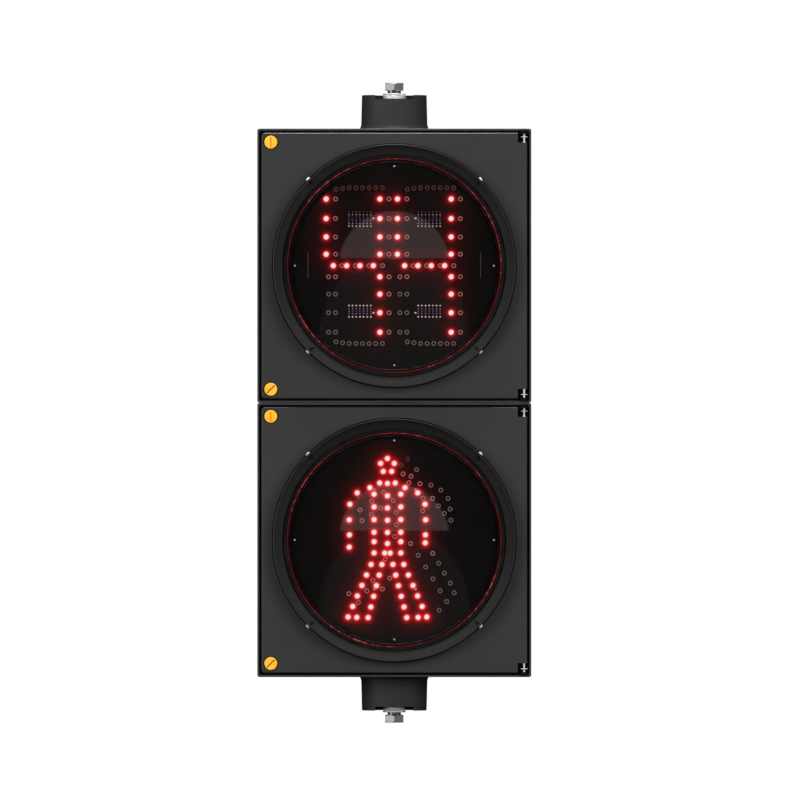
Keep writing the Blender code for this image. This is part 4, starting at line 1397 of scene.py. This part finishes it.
def area_light(name, place, size, power):
    """A rectangular light in metres and watts, turned to the middle of the object."""
    light = bpy.data.lights.new(name, "AREA")
    light.shape = "RECTANGLE"
    light.size, light.size_y = size
    light.energy = power
    obj = linked(bpy.data.objects.new(name, light))
    obj.location = place
    obj.rotation_euler = (LIT_MIDDLE - Vector(place)).to_track_quat("-Z", "Y").to_euler()
    obj.visible_camera = False
    return obj


def studio_world():
    """White behind the object. Everything else sees a dim room that is lighter overhead.

    Polished surfaces also see a half-round window high in front, and a paler floor below it.
    """
    world = bpy.data.worlds.new("studio")
    bpy.context.scene.world = world
    world.use_nodes = True
    made = Nodes(world.node_tree)
    backdrop = made.tree.nodes["Background"]
    made.feed(backdrop.inputs["Color"], WHITE)
    direction = made.node("ShaderNodeTexCoord").outputs["Generated"]
    split = made.node("ShaderNodeSeparateXYZ")
    made.feed(split.inputs[0], direction)
    across, forward, up = split.outputs
    height = made.node("ShaderNodeMapRange", Value=up, From_Min=-1, From_Max=1).outputs["Result"]
    tones = [(position, (level,) * 3) for position, level in ROOM_TONES]
    room = made.node("ShaderNodeBackground", Color=made.colours(height, *tones))
    path = made.node("ShaderNodeLightPath")

    def within(half_width, half_height, centre):
        x = made.math("DIVIDE", across, half_width)
        z = made.math("DIVIDE", made.math("SUBTRACT", up, centre), half_height)
        square = made.math("ADD", made.math("MULTIPLY", x, x), made.math("MULTIPLY", z, z))
        return made.math("LESS_THAN", square, 1.0)

    half_round = made.math("MULTIPLY", within(0.272, 0.272, 0.0), made.math("GREATER_THAN", up, 0.042))
    window = made.math("MULTIPLY", half_round, WINDOW_LIGHT)
    floor = made.math("MULTIPLY", within(0.36, 0.42, -0.35), FLOOR_LIGHT)
    front = made.math("LESS_THAN", forward, 0.0)
    shown = made.math("MULTIPLY", front, path.outputs["Is Glossy Ray"])
    level = made.math("MULTIPLY", made.math("ADD", window, floor), shown)
    glossy = made.node("ShaderNodeBackground", Color=(1.0, 0.84, 0.80, 1), Strength=level)
    added = made.node("ShaderNodeAddShader")
    for socket, source in zip(added.inputs, (room, glossy)):
        made.feed(socket, source.outputs[0])
    surface = made.mixed(path.outputs["Is Camera Ray"], added, backdrop)
    made.tree.links.new(surface, made.tree.nodes["World Output"].inputs["Surface"])


def studio_floor():
    bm = bmesh.new()
    bmesh.ops.create_circle(bm, cap_ends=True, segments=96, radius=30000)
    bmesh.ops.translate(bm, vec=(0, 0, -2900), verts=bm.verts)
    floor = new_object("studio_floor", bm)
    made = Finish("floor_paint", (0.86, 0.86, 0.86), 0.9)
    made.tone(made.noise(0.6, 2), (0.3, (0.84, 0.84, 0.84)), (0.7, (0.88, 0.88, 0.88)))
    floor.data.materials.append(made.material)
    floor.visible_diffuse = floor.visible_glossy = False
    floor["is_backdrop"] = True


def studio():
    studio_world()
    studio_floor()
    area_light("overhead_softbox", (0, -0.30, 1.9), (0.9, 0.9), 48)
    rear = area_light("rear_softbox", (0, 3.0, 0.9), (1.2, 1.6), 60)
    rear.visible_glossy = False
    for side in (-1, 1):
        fill = area_light(f"front_softbox_{side}", (side * 2.1, -4.2, 0.4), (2.4, 2.0), 165)
        fill.visible_glossy = False
    for side, power in ((-1, 12), (1, 3.2)):
        card = area_light(f"side_card_{side}", (side * 2.2, -1.3, -0.2), (1.6, 2.6), power)
        card.visible_diffuse = False


FIELD_WIDTH = 0.7848
FIELD_PLANE = -0.020


def camera():
    """A level view from far off, one field wide at the plane of the field."""
    data = bpy.data.cameras.new("camera")
    data.sensor_width = 36
    data.lens = 1200
    data.clip_end = 100
    distance = FIELD_WIDTH * data.lens / data.sensor_width
    obj = linked(bpy.data.objects.new("camera", data))
    obj.location = (0.0056, FIELD_PLANE - distance, -0.29925)
    obj.rotation_euler = (math.radians(90), 0, 0)
    bpy.context.scene.camera = obj


SECTION_BUILDERS = (
    housing, hinge_pins, gasket, terminal_block, cable, door, visor_screws, latches, optical_module,
)
for section in SECTIONS:
    for build in SECTION_BUILDERS:
        build(section)
grommet()
coupling()
for end, _ in ENDS:
    for build in (boss, washers, clamp_bolt, nut_plate):
        build(end)
repaint_cad()
studio()
camera()
bpy.context.scene.view_settings.view_transform = "Standard"

sizes = {
    name: [[float(value) for value in corner] for corner in corners]
    for name, corners in (("cad", CAD_BOX), ("visual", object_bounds()))
}
